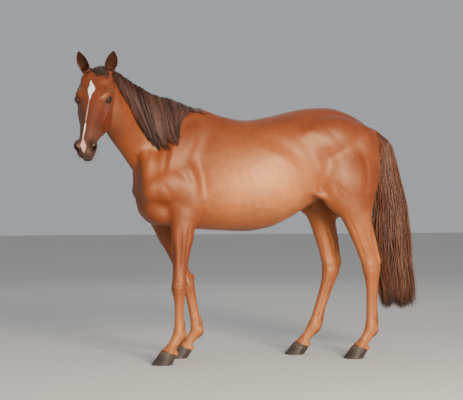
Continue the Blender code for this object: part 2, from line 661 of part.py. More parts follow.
def largest_body(obj):
    """Keeps the biggest connected body of a mesh, so that a cut leaves no crumbs."""
    bm = bmesh.new()
    bm.from_mesh(obj.data)
    bm.verts.ensure_lookup_table()
    left = set(bm.verts)
    bodies = []
    while left:
        seed = left.pop()
        found, queue = {seed}, [seed]
        while queue:
            for e in queue.pop().link_edges:
                for v in e.verts:
                    if v in left:
                        left.discard(v)
                        found.add(v)
                        queue.append(v)
        bodies.append(found)
    if len(bodies) > 1:
        keep = max(bodies, key=len)
        bmesh.ops.delete(bm, geom=[v for v in bm.verts if v not in keep], context="VERTS")
        bm.to_mesh(obj.data)
    bm.free()
    return obj


def decimated(obj, triangles):
    count = sum(len(p.vertices) - 2 for p in obj.data.polygons)
    m = obj.modifiers.new("fewer", "DECIMATE")
    m.decimate_type, m.ratio, m.use_collapse_triangulate = "COLLAPSE", triangles / count, True
    return applied(obj)


def whole_skin():
    bm = bmesh.new()
    body_forms(bm)
    for name in LEGS:
        leg_forms(bm, name)
    head_forms(bm)
    throat_forms(bm)
    skin = fuse(to_object(bm, "skin"), VOXEL)
    co = coords(skin)
    soft = np.full(len(co), 1.0)
    soft[co[:, 2] < 0.74] = 0.12
    low = (co[:, 2] >= 0.74) & (co[:, 2] < 0.90)
    soft[low] = 0.12 + (co[low, 2] - 0.74) / 0.16 * 0.88
    soft = np.minimum(soft, 1 - 0.85 * near_ball(co, HEAD @ Vector((0, -0.30, -0.10)), 0.40, 0.3))
    weighted_smooth(skin, soft, 60)
    co = coords(skin)
    weighted_smooth(skin, near_ball(co, (0, -0.70, 1.06), 0.24, 0.5), 40)
    return decimated(skin, TRIANGLES)


def hair_slab(name, columns):
    """A closed slab from columns of (outer, inner) points."""
    bm = bmesh.new()
    outer = [[bm.verts.new(p) for p, _ in column] for column in columns]
    inner = [[bm.verts.new(p) for _, p in column] for column in columns]
    rows, cols = len(columns[0]), len(columns)
    for grid, flip in ((outer, False), (inner, True)):
        for i in range(cols - 1):
            for j in range(rows - 1):
                quad = [grid[i][j], grid[i + 1][j], grid[i + 1][j + 1], grid[i][j + 1]]
                bm.faces.new(quad[::-1] if flip else quad)
    edge = [(i, 0) for i in range(cols)] + [(cols - 1, j) for j in range(1, rows)]
    edge += [(i, rows - 1) for i in range(cols - 2, -1, -1)] + [(0, j) for j in range(rows - 2, 0, -1)]
    for (a, b), (c, d) in zip(edge, edge[1:] + edge[:1]):
        bm.faces.new((outer[a][b], inner[a][b], inner[c][d], outer[c][d]))
    return to_object(bm, name)


def mane_columns(tree, count=14, rows=7):
    crest = smooth_path([k[0] for k in NECK], 57)
    found = []
    for u, fall, back, thick in zip(*table_at(MANE, count)):
        root = crest[int(round(u * 56))]
        column = []
        for j in range(rows):
            s = j / (rows - 1)
            if j == 0:
                hit, normal = root + Vector((-0.020, 0, -0.006)), Vector((-0.5, 0, 0.86))
                top = tree.find_nearest(hit)
                hit, normal = top[0], top[1]
            elif j == 1:
                top = tree.find_nearest(root + Vector((0, 0, 0.02)))
                hit, normal = top[0], top[1]
            else:
                t = (j - 1) / (rows - 2)
                aim = Vector((1.0, root.y + back * t, root.z - 0.012 - (fall - 0.012) * t))
                top = tree.ray_cast(aim, Vector((-1, 0, 0)))
                hit, normal = top[0], top[1]
            lift = thick * (0.55 if j == 0 else 1 - 0.55 * max(0, (j - 2) / (rows - 3)) ** 2)
            column.append((hit + normal * lift, hit - normal * 0.010))
        found.append(column)
    return found


def forelock_columns(tree, count=7, rows=6):
    found = []
    for i in range(count):
        a = i / (count - 1) * 2 - 1
        column = []
        for j in range(rows):
            s = j / (rows - 1)
            local = Vector((0.036 * a * (1 - 0.15 * s), 0.045 - (0.115 - 0.030 * a * a) * s, 0.12))
            start = HEAD @ local
            hit, normal, _, _ = tree.ray_cast(start, (HEAD.to_3x3() @ Vector((0, 0, -1))))
            lift = 0.018 * (1 - 0.60 * s) * (1 - 0.35 * a * a)
            column.append((hit + normal * lift, hit - normal * 0.008))
        found.append(column)
    return found


def tree_of(objects):
    from mathutils.bvhtree import BVHTree

    verts, faces = [], []
    for obj in objects:
        base = len(verts)
        verts += [v.co.copy() for v in obj.data.vertices]
        faces += [[base + i for i in p.vertices] for p in obj.data.polygons]
    return BVHTree.FromPolygons(verts, faces)


def eye_opening(s):
    """Where the lids part: a flat almond in front of the eyeball."""
    look = Vector((s * EYE_LOOK.x, EYE_LOOK.y, EYE_LOOK.z)).normalized()
    along = Vector((0, -1, 0)) - look * look.dot(Vector((0, -1, 0)))
    along = (along.normalized() + Vector((0, 0, -0.25))).normalized()
    along = (along - look * along.dot(look)).normalized()
    across = look.cross(along)
    turn = Matrix((along, across, look)).transposed().to_4x4()
    centre = Vector((s * EYE.x, EYE.y, EYE.z)) + look * (EYE_RADIUS + 0.002)
    return HEAD @ Matrix.Translation(centre) @ turn @ Matrix.Diagonal((0.0240, 0.0160, 0.0160, 1))


def build():
    remove_all()
    coat = material("coat_chestnut", (0.300, 0.085, 0.024), 0.45)
    mane_hair = material("mane_dark_brown", (0.050, 0.022, 0.016), 0.55)
    tail_hair = material("tail_brown", (0.085, 0.036, 0.022), 0.55)
    horn = material("hoof_horn", (0.070, 0.052, 0.040), 0.50)
    eye_dark = material("eye_dark", (0.012, 0.007, 0.005), 0.10)

    body = whole_skin()
    tree = tree_of([body])
    around = swollen(body, GAP)  # what the hair is cut clear of

    nodes = {}
    # neck and head from the trunk: a slanting cut from the withers to the breast
    slant = math.atan2(0.54, 0.42)
    front_of = Matrix.Translation((0, -0.385, 1.560)) @ Matrix.Rotation(slant, 4, "X")
    upper, body = part_off(body, "neck", (-1, -3.0, 0.0), (1, 1.0, 2.0), front_of)
    # head from the neck, behind the ears and under the jaw
    nodes["head"], nodes["neck"] = part_off(upper, "head", (-0.5, -1.2, -0.300), (0.5, 0.030, 0.6), HEAD)
    nodes["head"].name, nodes["neck"].name = "head", "neck"
    # legs
    for name, low, high in (
        ("foreleg_left", (0.004, -1.0, -0.5), (0.6, -0.28, 0.782)),
        ("foreleg_right", (-0.6, -1.0, -0.5), (-0.004, -0.20, 0.782)),
        ("hindleg_left", (0.004, 0.345, -0.5), (0.6, 1.2, 0.915)),
        ("hindleg_right", (-0.6, 0.270, -0.5), (-0.004, 1.2, 0.885)),
    ):
        nodes[name], body = part_off(body, name, low, high)
        joints, _, turn = LEGS[name]
        rim = (
            Matrix.Translation(joints[3])
            @ Matrix.Rotation(math.radians(turn), 4, "Z")
            @ Matrix.Rotation(math.radians(-CORONET_TILT), 4, "X")
        )
        below = helper_box((-0.3, -0.3, -0.5), (0.3, 0.3, GAP), rim)
        boolean(nodes[name], below, "DIFFERENCE")
        drop(below)
        bm = bmesh.new()
        loft(bm, hoof_rings(name, 3, 20))
        nodes[name.replace("leg_", "_").replace("fore_", "hoof_fore_").replace("hind_", "hoof_hind_")] = to_object(
            bm, "hoof_" + name.replace("leg", "")
        )
    body.name = "trunk"
    nodes["trunk"] = body

    # ears, cut clear of the head
    thick_head = swollen(nodes["head"], GAP)
    for s, name in ((1, "ear_left"), (-1, "ear_right")):
        bm = bmesh.new()
        loft(bm, ear_rings(s, 10, 12))
        ear = to_object(bm, name)
        boolean(ear, thick_head, "DIFFERENCE")
        nodes[name] = ear
    # eyes, in sockets a little wider than they are
    for s, name in ((1, "eye_left"), (-1, "eye_right")):
        centre = HEAD @ Vector((s * EYE.x, EYE.y, EYE.z))
        for radius, label in ((EYE_RADIUS + GAP, "socket"), (EYE_RADIUS, name)):
            bm = bmesh.new()
            bmesh.ops.create_uvsphere(bm, u_segments=12, v_segments=8, radius=radius, matrix=Matrix.Translation(centre))
            ball = to_object(bm, label)
            if label == "socket":
                boolean(nodes["head"], ball, "DIFFERENCE")
                drop(ball)
                # the opening between the lids
                bm = bmesh.new()
                bmesh.ops.create_uvsphere(bm, u_segments=14, v_segments=8, radius=1, matrix=eye_opening(s))
                lids = to_object(bm, "lids")
                boolean(nodes["head"], lids, "DIFFERENCE")
                drop(lids)
            else:
                nodes[name] = ball
    # mane and forelock lie on neck, withers and poll; the tail hangs from the dock
    nodes["mane"] = hair_slab("mane", mane_columns(tree))
    nodes["forelock"] = hair_slab("forelock", forelock_columns(tree))
    bm = bmesh.new()
    rings = []
    for z, y, depth, width in zip(*table_at([(-r[0], r[1], r[2], r[3]) for r in TAIL], 15)):
        rings.append(section(Vector((0, y, -z)), X, Y, width, depth, depth, 2.2, 2.2, 16))
    loft(bm, rings)
    nodes["tail"] = to_object(bm, "tail")
    for name in ("mane", "forelock", "tail"):
        boolean(nodes[name], around, "DIFFERENCE")
    drop(around)
    for name in ("ear_left", "ear_right"):
        cutter = swollen(nodes[name], GAP)
        for hair in ("mane", "forelock"):
            boolean(nodes[hair], cutter, "DIFFERENCE")
        drop(cutter)
    drop(thick_head)

    # stand on the floor, with the origin under the middle of the whole horse
    for obj in nodes.values():
        largest_body(obj)
    shift = np.array([-ORIGIN[0], -ORIGIN[1], -GROUND])
    for name, obj in nodes.items():
        obj.name = name
        obj.data.name = name
        set_coords(obj, coords(obj) + shift)
        look = coat
        if name.startswith("hoof"):
            look = horn
        elif name.startswith("eye"):
            look = eye_dark
        elif name == "tail":
            look = tail_hair
        elif name in ("mane", "forelock"):
            look = mane_hair
        obj.data.materials.clear()
        obj.data.materials.append(look)
        obj.data.shade_smooth()
        obj.data.set_sharp_from_angle(angle=math.radians(50))


build()
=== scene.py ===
"""Looks of a chestnut horse, standing with its head turned to its left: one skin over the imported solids, with its coat,
mane, forelock, tail, eyes and hooves as solid meshes."""

import json

import bpy
import bmesh
import math
import numpy as np
from mathutils import Matrix, Vector
from mathutils.bvhtree import BVHTree

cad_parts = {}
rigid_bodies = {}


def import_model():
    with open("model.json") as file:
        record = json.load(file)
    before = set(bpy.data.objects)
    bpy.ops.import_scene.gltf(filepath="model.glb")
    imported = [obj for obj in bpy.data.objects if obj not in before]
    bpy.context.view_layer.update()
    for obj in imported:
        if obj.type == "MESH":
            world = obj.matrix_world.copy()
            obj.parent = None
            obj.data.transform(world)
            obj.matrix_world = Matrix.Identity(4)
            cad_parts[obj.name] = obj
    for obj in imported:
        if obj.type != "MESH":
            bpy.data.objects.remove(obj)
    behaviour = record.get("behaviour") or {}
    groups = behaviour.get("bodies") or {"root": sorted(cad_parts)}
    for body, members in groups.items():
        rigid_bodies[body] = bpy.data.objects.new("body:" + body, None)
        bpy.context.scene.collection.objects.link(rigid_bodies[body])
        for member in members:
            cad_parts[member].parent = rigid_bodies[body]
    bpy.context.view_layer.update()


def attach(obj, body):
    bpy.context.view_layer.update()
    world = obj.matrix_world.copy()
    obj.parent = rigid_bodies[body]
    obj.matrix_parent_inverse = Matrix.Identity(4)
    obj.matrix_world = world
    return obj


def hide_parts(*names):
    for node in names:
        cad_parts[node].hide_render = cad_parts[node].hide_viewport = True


COUNT = {}

# ---------------------------------------------------------------- helpers


def remove_all():
    for obj in list(bpy.data.objects):
        bpy.data.objects.remove(obj)


def hermite(keys, values, at):
    """Smooth curve through (keys, values), without overshoot between two keys."""
    keys, values = np.asarray(keys, float), np.asarray(values, float)
    at = np.clip(np.asarray(at, float), keys[0], keys[-1])
    step = np.diff(keys)
    slope = np.diff(values) / step
    tangent = np.zeros(len(keys))
    tangent[0], tangent[-1] = slope[0], slope[-1]
    for i in range(1, len(keys) - 1):
        a, b = slope[i - 1], slope[i]
        if a * b > 0:
            w1, w2 = 2 * step[i] + step[i - 1], step[i] + 2 * step[i - 1]
            tangent[i] = (w1 + w2) / (w1 / a + w2 / b)
    i = np.clip(np.searchsorted(keys, at, "right") - 1, 0, len(step) - 1)
    h, s = step[i], (at - keys[i]) / step[i]
    return (
        values[i] * (1 + 2 * s) * (1 - s) ** 2
        + h * tangent[i] * s * (1 - s) ** 2
        + values[i + 1] * s * s * (3 - 2 * s)
        + h * tangent[i + 1] * s * s * (s - 1)
    )


def table_at(table, count):
    """A table whose first column is a position along the part, read at evenly spaced positions."""
    rows = np.array(table, float)
    at = np.linspace(rows[0, 0], rows[-1, 0], count)
    return [at] + [hermite(rows[:, 0], rows[:, k], at) for k in range(1, rows.shape[1])]


def section(centre, side, up, w, hu, hd, nu=2.0, nd=2.0, count=40):
    """A closed ring: half-width w along side, hu above the centre and hd below it, with the roundness of each half."""
    ring = []
    for i in range(count):
        t = 2 * math.pi * i / count
        c, s = math.cos(t), math.sin(t)
        n = nu if s > 0 else nd
        a = math.copysign(abs(c) ** (2 / n), c) * w
        b = math.copysign(abs(s) ** (2 / n), s) * (hu if s > 0 else hd)
        ring.append(centre + side * a + up * b)
    return ring


def loft(bm, rings):
    """Bridges each ring to the next and closes both ends."""
    made = [[bm.verts.new(p) for p in ring] for ring in rings]
    n = len(made[0])
    for a, b in zip(made, made[1:]):
        for i in range(n):
            bm.faces.new((a[i], a[(i + 1) % n], b[(i + 1) % n], b[i]))
    for ring in (made[0], made[-1]):
        middle = bm.verts.new(sum((v.co for v in ring), Vector()) / n)
        for i in range(n):
            bm.faces.new((ring[i], ring[(i + 1) % n], middle))


def blob(bm, centre, radii, turn=(0, 0, 0), place=None):
    """A muscle or bone as an ellipsoid; turn is in degrees about X, Y and Z."""
    m = Matrix.Translation(centre)
    m = m @ Matrix.Rotation(math.radians(turn[2]), 4, "Z")
    m = m @ Matrix.Rotation(math.radians(turn[1]), 4, "Y")
    m = m @ Matrix.Rotation(math.radians(turn[0]), 4, "X")
    m = m @ Matrix.Diagonal((*radii, 1))
    if place is not None:
        m = place @ m
    bmesh.ops.create_icosphere(bm, subdivisions=4 if max(radii) > 0.08 else 3, radius=1, matrix=m)


def smooth_path(points, count):
    """Catmull-Rom curve through the points, evenly read."""
    p = [Vector(q) for q in points]
    p = [2 * p[0] - p[1]] + p + [2 * p[-1] - p[-2]]
    found = []
    spans = len(p) - 3
    for k in range(count):
        x = k / (count - 1) * spans
        i = min(int(x), spans - 1)
        t = x - i
        a, b, c, d = p[i : i + 4]
        found.append(
            0.5
            * (
                2 * b
                + (c - a) * t
                + (2 * a - 5 * b + 4 * c - d) * t * t
                + (3 * b - a - 3 * c + d) * t**3
            )
        )
    return found


def strap(bm, points, radii, flat=1.0, lateral=Vector((1, 0, 0)), count=24, place=None):
    """A tendon, ridge or strap of muscle: a tube along a curve, with the radius given at each of its points."""
    line = smooth_path(points, count)
    r = hermite(np.linspace(0, 1, len(radii)), radii, np.linspace(0, 1, count))
    rings = []
    for k, p in enumerate(line):
        along = (line[min(k + 1, count - 1)] - line[max(k - 1, 0)]).normalized()
        up = along.cross(lateral).normalized()
        side = up.cross(along).normalized()
        rings.append(section(p, side * flat, up, r[k], r[k], r[k], count=20))
    if place is not None:
        rings = [[place @ p for p in ring] for ring in rings]
    loft(bm, rings)


def to_object(bm, name):
    bmesh.ops.recalc_face_normals(bm, faces=bm.faces)
    mesh = bpy.data.meshes.new(name)
    bm.to_mesh(mesh)
    bm.free()
    obj = bpy.data.objects.new(name, mesh)
    bpy.context.scene.collection.objects.link(obj)
    return obj


def applied(obj):
    """Replaces the object's mesh with the evaluated one, modifiers applied."""
    graph = bpy.context.evaluated_depsgraph_get()
    graph.update()
    made = bpy.data.meshes.new_from_object(obj.evaluated_get(graph))
    old = obj.data
    obj.modifiers.clear()
    obj.data = made
    bpy.data.meshes.remove(old)
    return obj


def coords(obj):
    co = np.empty(len(obj.data.vertices) * 3, np.float32)
    obj.data.vertices.foreach_get("co", co)
    return co.reshape(-1, 3).astype(float)


def normals(obj):
    no = np.empty(len(obj.data.vertices) * 3, np.float32)
    obj.data.vertices.foreach_get("normal", no)
    return no.reshape(-1, 3).astype(float)


def set_coords(obj, co):
    obj.data.vertices.foreach_set("co", co.astype(np.float32).ravel())
    obj.data.update()


def fuse(obj, voxel):
    """Melts overlapping closed forms into one skin."""
    m = obj.modifiers.new("fuse", "REMESH")
    m.mode, m.voxel_size, m.adaptivity = "VOXEL", voxel, 0
    m.use_smooth_shade = True
    return applied(obj)


def weighted_smooth(obj, weights, repeat, factor=0.5):
    """Laplacian smoothing of the chosen vertices only."""
    group = obj.vertex_groups.new(name="soft")
    level = np.round(np.clip(weights, 0, 1) * 20).astype(int)
    for k in range(1, 21):
        found = np.flatnonzero(level == k)
        if len(found):
            group.add(found.tolist(), k / 20, "REPLACE")
    m = obj.modifiers.new("soften", "SMOOTH")
    m.factor, m.iterations, m.vertex_group = factor, repeat, "soft"
    applied(obj)
    obj.vertex_groups.clear()
    return obj


def near_ball(co, centre, radius, edge=0.5):
    """1 inside the ball, falling to 0 over its outer part."""
    d = np.linalg.norm((co - np.array(centre, float)), axis=1) / radius
    t = np.clip((1 - d) / edge, 0, 1)
    return t * t * (3 - 2 * t)


# ---------------------------------------------------------------- the horse
# X points to the horse's left, -Y is forward and Z is up, in metres. Its weight is on all four feet, the right
# foreleg a little back and the right hind leg forward, and its head is turned to its left.

TRUNK = (  # y, z of the back, z of the widest place, z of the underside, half width, roundness above, below
    (-0.745, 1.120, 1.020, 0.950, 0.050, 2.0, 2.0),
    (-0.710, 1.210, 1.020, 0.885, 0.120, 2.0, 2.0),
    (-0.630, 1.340, 1.020, 0.835, 0.165, 2.0, 2.0),
    (-0.500, 1.470, 1.030, 0.805, 0.190, 1.70, 1.9),
    (-0.370, 1.535, 1.040, 0.797, 0.212, 1.45, 1.85),
    (-0.240, 1.492, 1.050, 0.790, 0.248, 1.70, 2.0),
    (-0.080, 1.462, 1.060, 0.783, 0.280, 2.0, 2.1),
    (0.060, 1.484, 1.080, 0.803, 0.286, 2.1, 2.1),
    (0.200, 1.518, 1.120, 0.862, 0.268, 2.1, 2.0),
    (0.330, 1.543, 1.180, 0.940, 0.240, 2.1, 2.0),
    (0.450, 1.547, 1.220, 0.985, 0.228, 2.1, 2.0),
    (0.580, 1.512, 1.220, 1.000, 0.212, 2.1, 2.0),
    (0.700, 1.445, 1.220, 1.030, 0.165, 2.0, 2.0),
    (0.765, 1.385, 1.230, 1.090, 0.100, 2.0, 2.0),
    (0.790, 1.335, 1.240, 1.150, 0.045, 2.0, 2.0),
)

NECK = (  # crest, throat, half width
    ((0.000, -0.330, 1.500), (0.000, -0.560, 0.930), 0.165),
    ((0.000, -0.420, 1.535), (0.000, -0.690, 1.000), 0.150),
    ((0.006, -0.520, 1.560), (0.008, -0.740, 1.100), 0.120),
    ((0.028, -0.630, 1.596), (0.032, -0.790, 1.176), 0.103),
    ((0.072, -0.740, 1.645), (0.078, -0.843, 1.245), 0.094),
    ((0.122, -0.840, 1.697), (0.132, -0.895, 1.306), 0.088),
    ((0.162, -0.918, 1.730), (0.175, -0.942, 1.366), 0.082),
    ((0.188, -0.970, 1.730), (0.205, -0.980, 1.410), 0.068),
)

# Joint centres of each leg, top to bottom (elbow or stifle, knee or hock, fetlock, coronet), and how far the leg is
# turned out below its middle and at the foot, in degrees.
LEGS = {
    "foreleg_left": (((0.150, -0.490, 0.850), (0.145, -0.517, 0.456), (0.150, -0.517, 0.182), (0.182, -0.588, 0.076)), 20, 24),
    "foreleg_right": (((-0.150, -0.545, 0.850), (-0.130, -0.400, 0.466), (-0.125, -0.345, 0.178), (-0.131, -0.416, 0.076)), -3, -5),
    "hindleg_left": (((0.165, 0.560, 0.930), (0.150, 0.690, 0.555), (0.145, 0.690, 0.186), (0.153, 0.615, 0.076)), 5, 7),
    "hindleg_right": (((-0.165, 0.455, 0.930), (-0.145, 0.530, 0.545), (-0.135, 0.412, 0.186), (-0.144, 0.336, 0.076)), -5, -7),
}
ORIGIN = (0.1493, -0.0869)  # the middle of the whole horse's box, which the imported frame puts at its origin
GROUND = 0.012  # height of the floor in these coordinates
CORONET_TILT = 19.5  # the hoof's upper rim, higher at the toe, in degrees

FORE = (  # place on the leg (0 elbow, 1 knee, 2 fetlock, 3 coronet), depth ahead of its line, behind it, half width, squareness
    (-0.28, 0.100, 0.105, 0.050, 2.1),
    (0.00, 0.083, 0.085, 0.056, 2.1),
    (0.15, 0.073, 0.074, 0.057, 2.1),
    (0.35, 0.060, 0.062, 0.052, 2.1),
    (0.55, 0.050, 0.053, 0.045, 2.1),
    (0.75, 0.042, 0.045, 0.039, 2.1),
    (0.88, 0.040, 0.043, 0.040, 2.3),
    (1.00, 0.043, 0.044, 0.044, 2.6),
    (1.09, 0.040, 0.042, 0.041, 2.5),
    (1.18, 0.032, 0.038, 0.034, 2.2),
    (1.35, 0.026, 0.036, 0.028, 2.0),
    (1.60, 0.024, 0.035, 0.0262, 2.0),
    (1.80, 0.026, 0.037, 0.029, 2.0),
    (1.92, 0.032, 0.042, 0.034, 2.2),
    (2.02, 0.035, 0.044, 0.036, 2.2),
    (2.25, 0.031, 0.036, 0.032, 2.1),
    (2.55, 0.028, 0.031, 0.030, 2.1),
    (2.80, 0.032, 0.033, 0.036, 2.1),
    (3.05, 0.043, 0.042, 0.047, 2.2),
)

HIND = (
    (-0.45, 0.150, 0.160, 0.090, 2.1),
    (0.00, 0.098, 0.128, 0.080, 2.1),
    (0.20, 0.079, 0.106, 0.071, 2.1),
    (0.45, 0.064, 0.078, 0.058, 2.1),
    (0.70, 0.053, 0.057, 0.046, 2.1),
    (0.87, 0.050, 0.052, 0.042, 2.3),
    (1.00, 0.052, 0.052, 0.044, 2.6),
    (1.09, 0.046, 0.050, 0.042, 2.4),
    (1.22, 0.036, 0.043, 0.034, 2.1),
    (1.50, 0.030, 0.039, 0.0285, 2.0),
    (1.82, 0.030, 0.040, 0.031, 2.0),
    (1.93, 0.035, 0.044, 0.036, 2.2),
    (2.02, 0.037, 0.046, 0.038, 2.2),
    (2.25, 0.032, 0.038, 0.033, 2.1),
    (2.55, 0.029, 0.032, 0.031, 2.1),
    (2.80, 0.032, 0.034, 0.036, 2.1),
    (3.05, 0.043, 0.042, 0.046, 2.2),
)

POLL = Vector((0.197, -1.007, 1.725))  # the head's own origin, just under the skin between the ears
HEAD_PITCH, HEAD_YAW, HEAD_ROLL = 41.5, 70.0, 0.0  # nose down, nose to the left, tilt

SKULL = (  # in the head's own frame, nose along -Y: y, z of the profile, z of the widest place, z below, half width, roundness
    (-0.622, -0.124, -0.136, -0.150, 0.016, 2.0, 2.0),
    (-0.614, -0.106, -0.132, -0.156, 0.033, 2.0, 2.0),
    (-0.592, -0.088, -0.124, -0.160, 0.047, 2.1, 2.1),
    (-0.550, -0.068, -0.112, -0.162, 0.052, 2.2, 2.2),
    (-0.500, -0.050, -0.106, -0.166, 0.048, 2.1, 2.3),
    (-0.440, -0.033, -0.101, -0.172, 0.051, 2.1, 2.3),
    (-0.380, -0.019, -0.094, -0.182, 0.060, 2.1, 2.3),
    (-0.320, -0.007, -0.086, -0.192, 0.073, 2.2, 2.3),
    (-0.270, 0.002, -0.074, -0.200, 0.087, 2.3, 2.3),
    (-0.220, 0.010, -0.064, -0.205, 0.096, 2.3, 2.3),
    (-0.175, 0.016, -0.056, -0.205, 0.101, 2.2, 2.3),
    (-0.118, 0.019, -0.054, -0.200, 0.101, 2.2, 2.2),
    (-0.058, 0.018, -0.056, -0.185, 0.095, 2.1, 2.0),
    (0.000, 0.010, -0.060, -0.160, 0.082, 2.1, 2.0),
    (0.038, -0.008, -0.068, -0.135, 0.056, 2.0, 2.0),
)

JAW = (
    (-0.600, -0.146, -0.158, -0.172, 0.014, 2.0, 2.0),
    (-0.590, -0.138, -0.164, -0.190, 0.031, 2.0, 2.0),
    (-0.560, -0.126, -0.165, -0.200, 0.040, 2.0, 2.0),
    (-0.525, -0.116, -0.158, -0.190, 0.038, 2.0, 2.0),
    (-0.470, -0.100, -0.150, -0.190, 0.041, 2.2, 2.2),
    (-0.400, -0.090, -0.150, -0.210, 0.052, 2.4, 2.4),
    (-0.335, -0.080, -0.156, -0.236, 0.065, 2.4, 2.6),
    (-0.275, -0.070, -0.162, -0.262, 0.075, 2.4, 2.8),
    (-0.215, -0.060, -0.168, -0.282, 0.081, 2.4, 2.8),
    (-0.150, -0.060, -0.168, -0.288, 0.081, 2.4, 2.6),
    (-0.085, -0.070, -0.160, -0.262, 0.071, 2.2, 2.2),
    (-0.032, -0.090, -0.152, -0.208, 0.046, 2.0, 2.0),
)

EYE = Vector((0.0830, -0.222, -0.044))  # centre of the left eyeball in the head's frame
EYE_RADIUS = 0.0205
EYE_LOOK = Vector((0.760, -0.600, 0.250))  # the way its opening faces
EAR_ROOT = Vector((0.066, -0.010, 0.000))
EAR_AXIS = Vector((0.36, 0.42, 0.84))
EAR_SWING = -0.01  # both tips carried a little to the right
EAR_LENGTH = 0.126

X, Y, Z = Vector((1, 0, 0)), Vector((0, 1, 0)), Vector((0, 0, 1))
HEAD = (
    Matrix.Translation(POLL)
    @ Matrix.Rotation(math.radians(HEAD_YAW), 4, "Z")
    @ Matrix.Rotation(math.radians(HEAD_PITCH), 4, "X")
    @ Matrix.Rotation(math.radians(HEAD_ROLL), 4, "Y")
)


def level_loft(bm, table, count, place=None, ring=40):
    """A form lofted along Y from its profile table."""
    rings = []
    for y, top, wide, low, w, nu, nd in zip(*table_at(table, count)):
        r = section(Vector((0, y, wide)), X, Z, w, top - wide, wide - low, nu, nd, ring)
        rings.append([place @ p for p in r] if place is not None else r)
    loft(bm, rings)


def neck_loft(bm, count=30):
    crest = smooth_path([k[0] for k in NECK], count)
    throat = smooth_path([k[1] for k in NECK], count)
    width = hermite(np.linspace(0, 1, len(NECK)), [k[2] for k in NECK], np.linspace(0, 1, count))
    rings = []
    for k in range(count):
        a, b = max(k - 1, 0), min(k + 1, count - 1)
        along = ((crest[b] + throat[b]) - (crest[a] + throat[a])).normalized()
        up = (crest[k] - throat[k]).normalized()
        side = along.cross(up).normalized()
        height = (crest[k] - throat[k]).length
        rings.append(section(throat[k] + up * height * 0.42, side, up, width[k], height * 0.58, height * 0.42, 1.55, 1.9))
    loft(bm, rings)


def leg_row(leg, t):
    """The leg's line at place t: centre, side, front and down directions. Side points away from the horse's middle."""
    joints, turn_mid, turn_foot = leg
    j = [Vector(p) for p in joints]
    j = [2 * j[0] - j[1]] + j + [2 * j[3] - j[2]]
    x = min(max(t + 1, 0), 4.999)
    i = int(x)
    f = x - i
    p = j[i].lerp(j[i + 1], f)
    down = (j[i + 1] - j[i]).normalized()
    bend = 0.15
    if f < bend and i > 0:
        before = (j[i] - j[i - 1]).normalized()
        down = before.lerp(down, 0.5 + 0.5 * f / bend).normalized()
    elif f > 1 - bend and i < 4:
        after = (j[i + 2] - j[i + 1]).normalized() if i < 4 and i + 2 < len(j) else down
        down = down.lerp(after, 0.5 * (f - 1 + bend) / bend).normalized()
    turn = math.radians(float(np.interp(t, (0.5, 1.0, 2.0), (0, turn_mid, turn_foot))))
    front = Vector((math.sin(turn), -math.cos(turn), 0))
    front = (front - down * front.dot(down)).normalized()
    side = down.cross(front).normalized()
    if side.x * joints[0][0] < 0:
        side.negate()
    return p, side, front, down


def leg_at(leg, t, front=0.0, out=0.0):
    p, side, fr, _ = leg_row(leg, t)
    return p + fr * front + side * out


def leg_loft(bm, leg, table, count=80):
    rows = np.array(table, float)
    rings = []
    for t in np.linspace(rows[0, 0], rows[-1, 0], count):
        f, b, w, n = (float(hermite(rows[:, 0], rows[:, k], t)) for k in (1, 2, 3, 4))
        p, side, front, _ = leg_row(leg, t)
        rings.append(section(p, side, front, w, f, b, n, n, 32))
    loft(bm, rings)


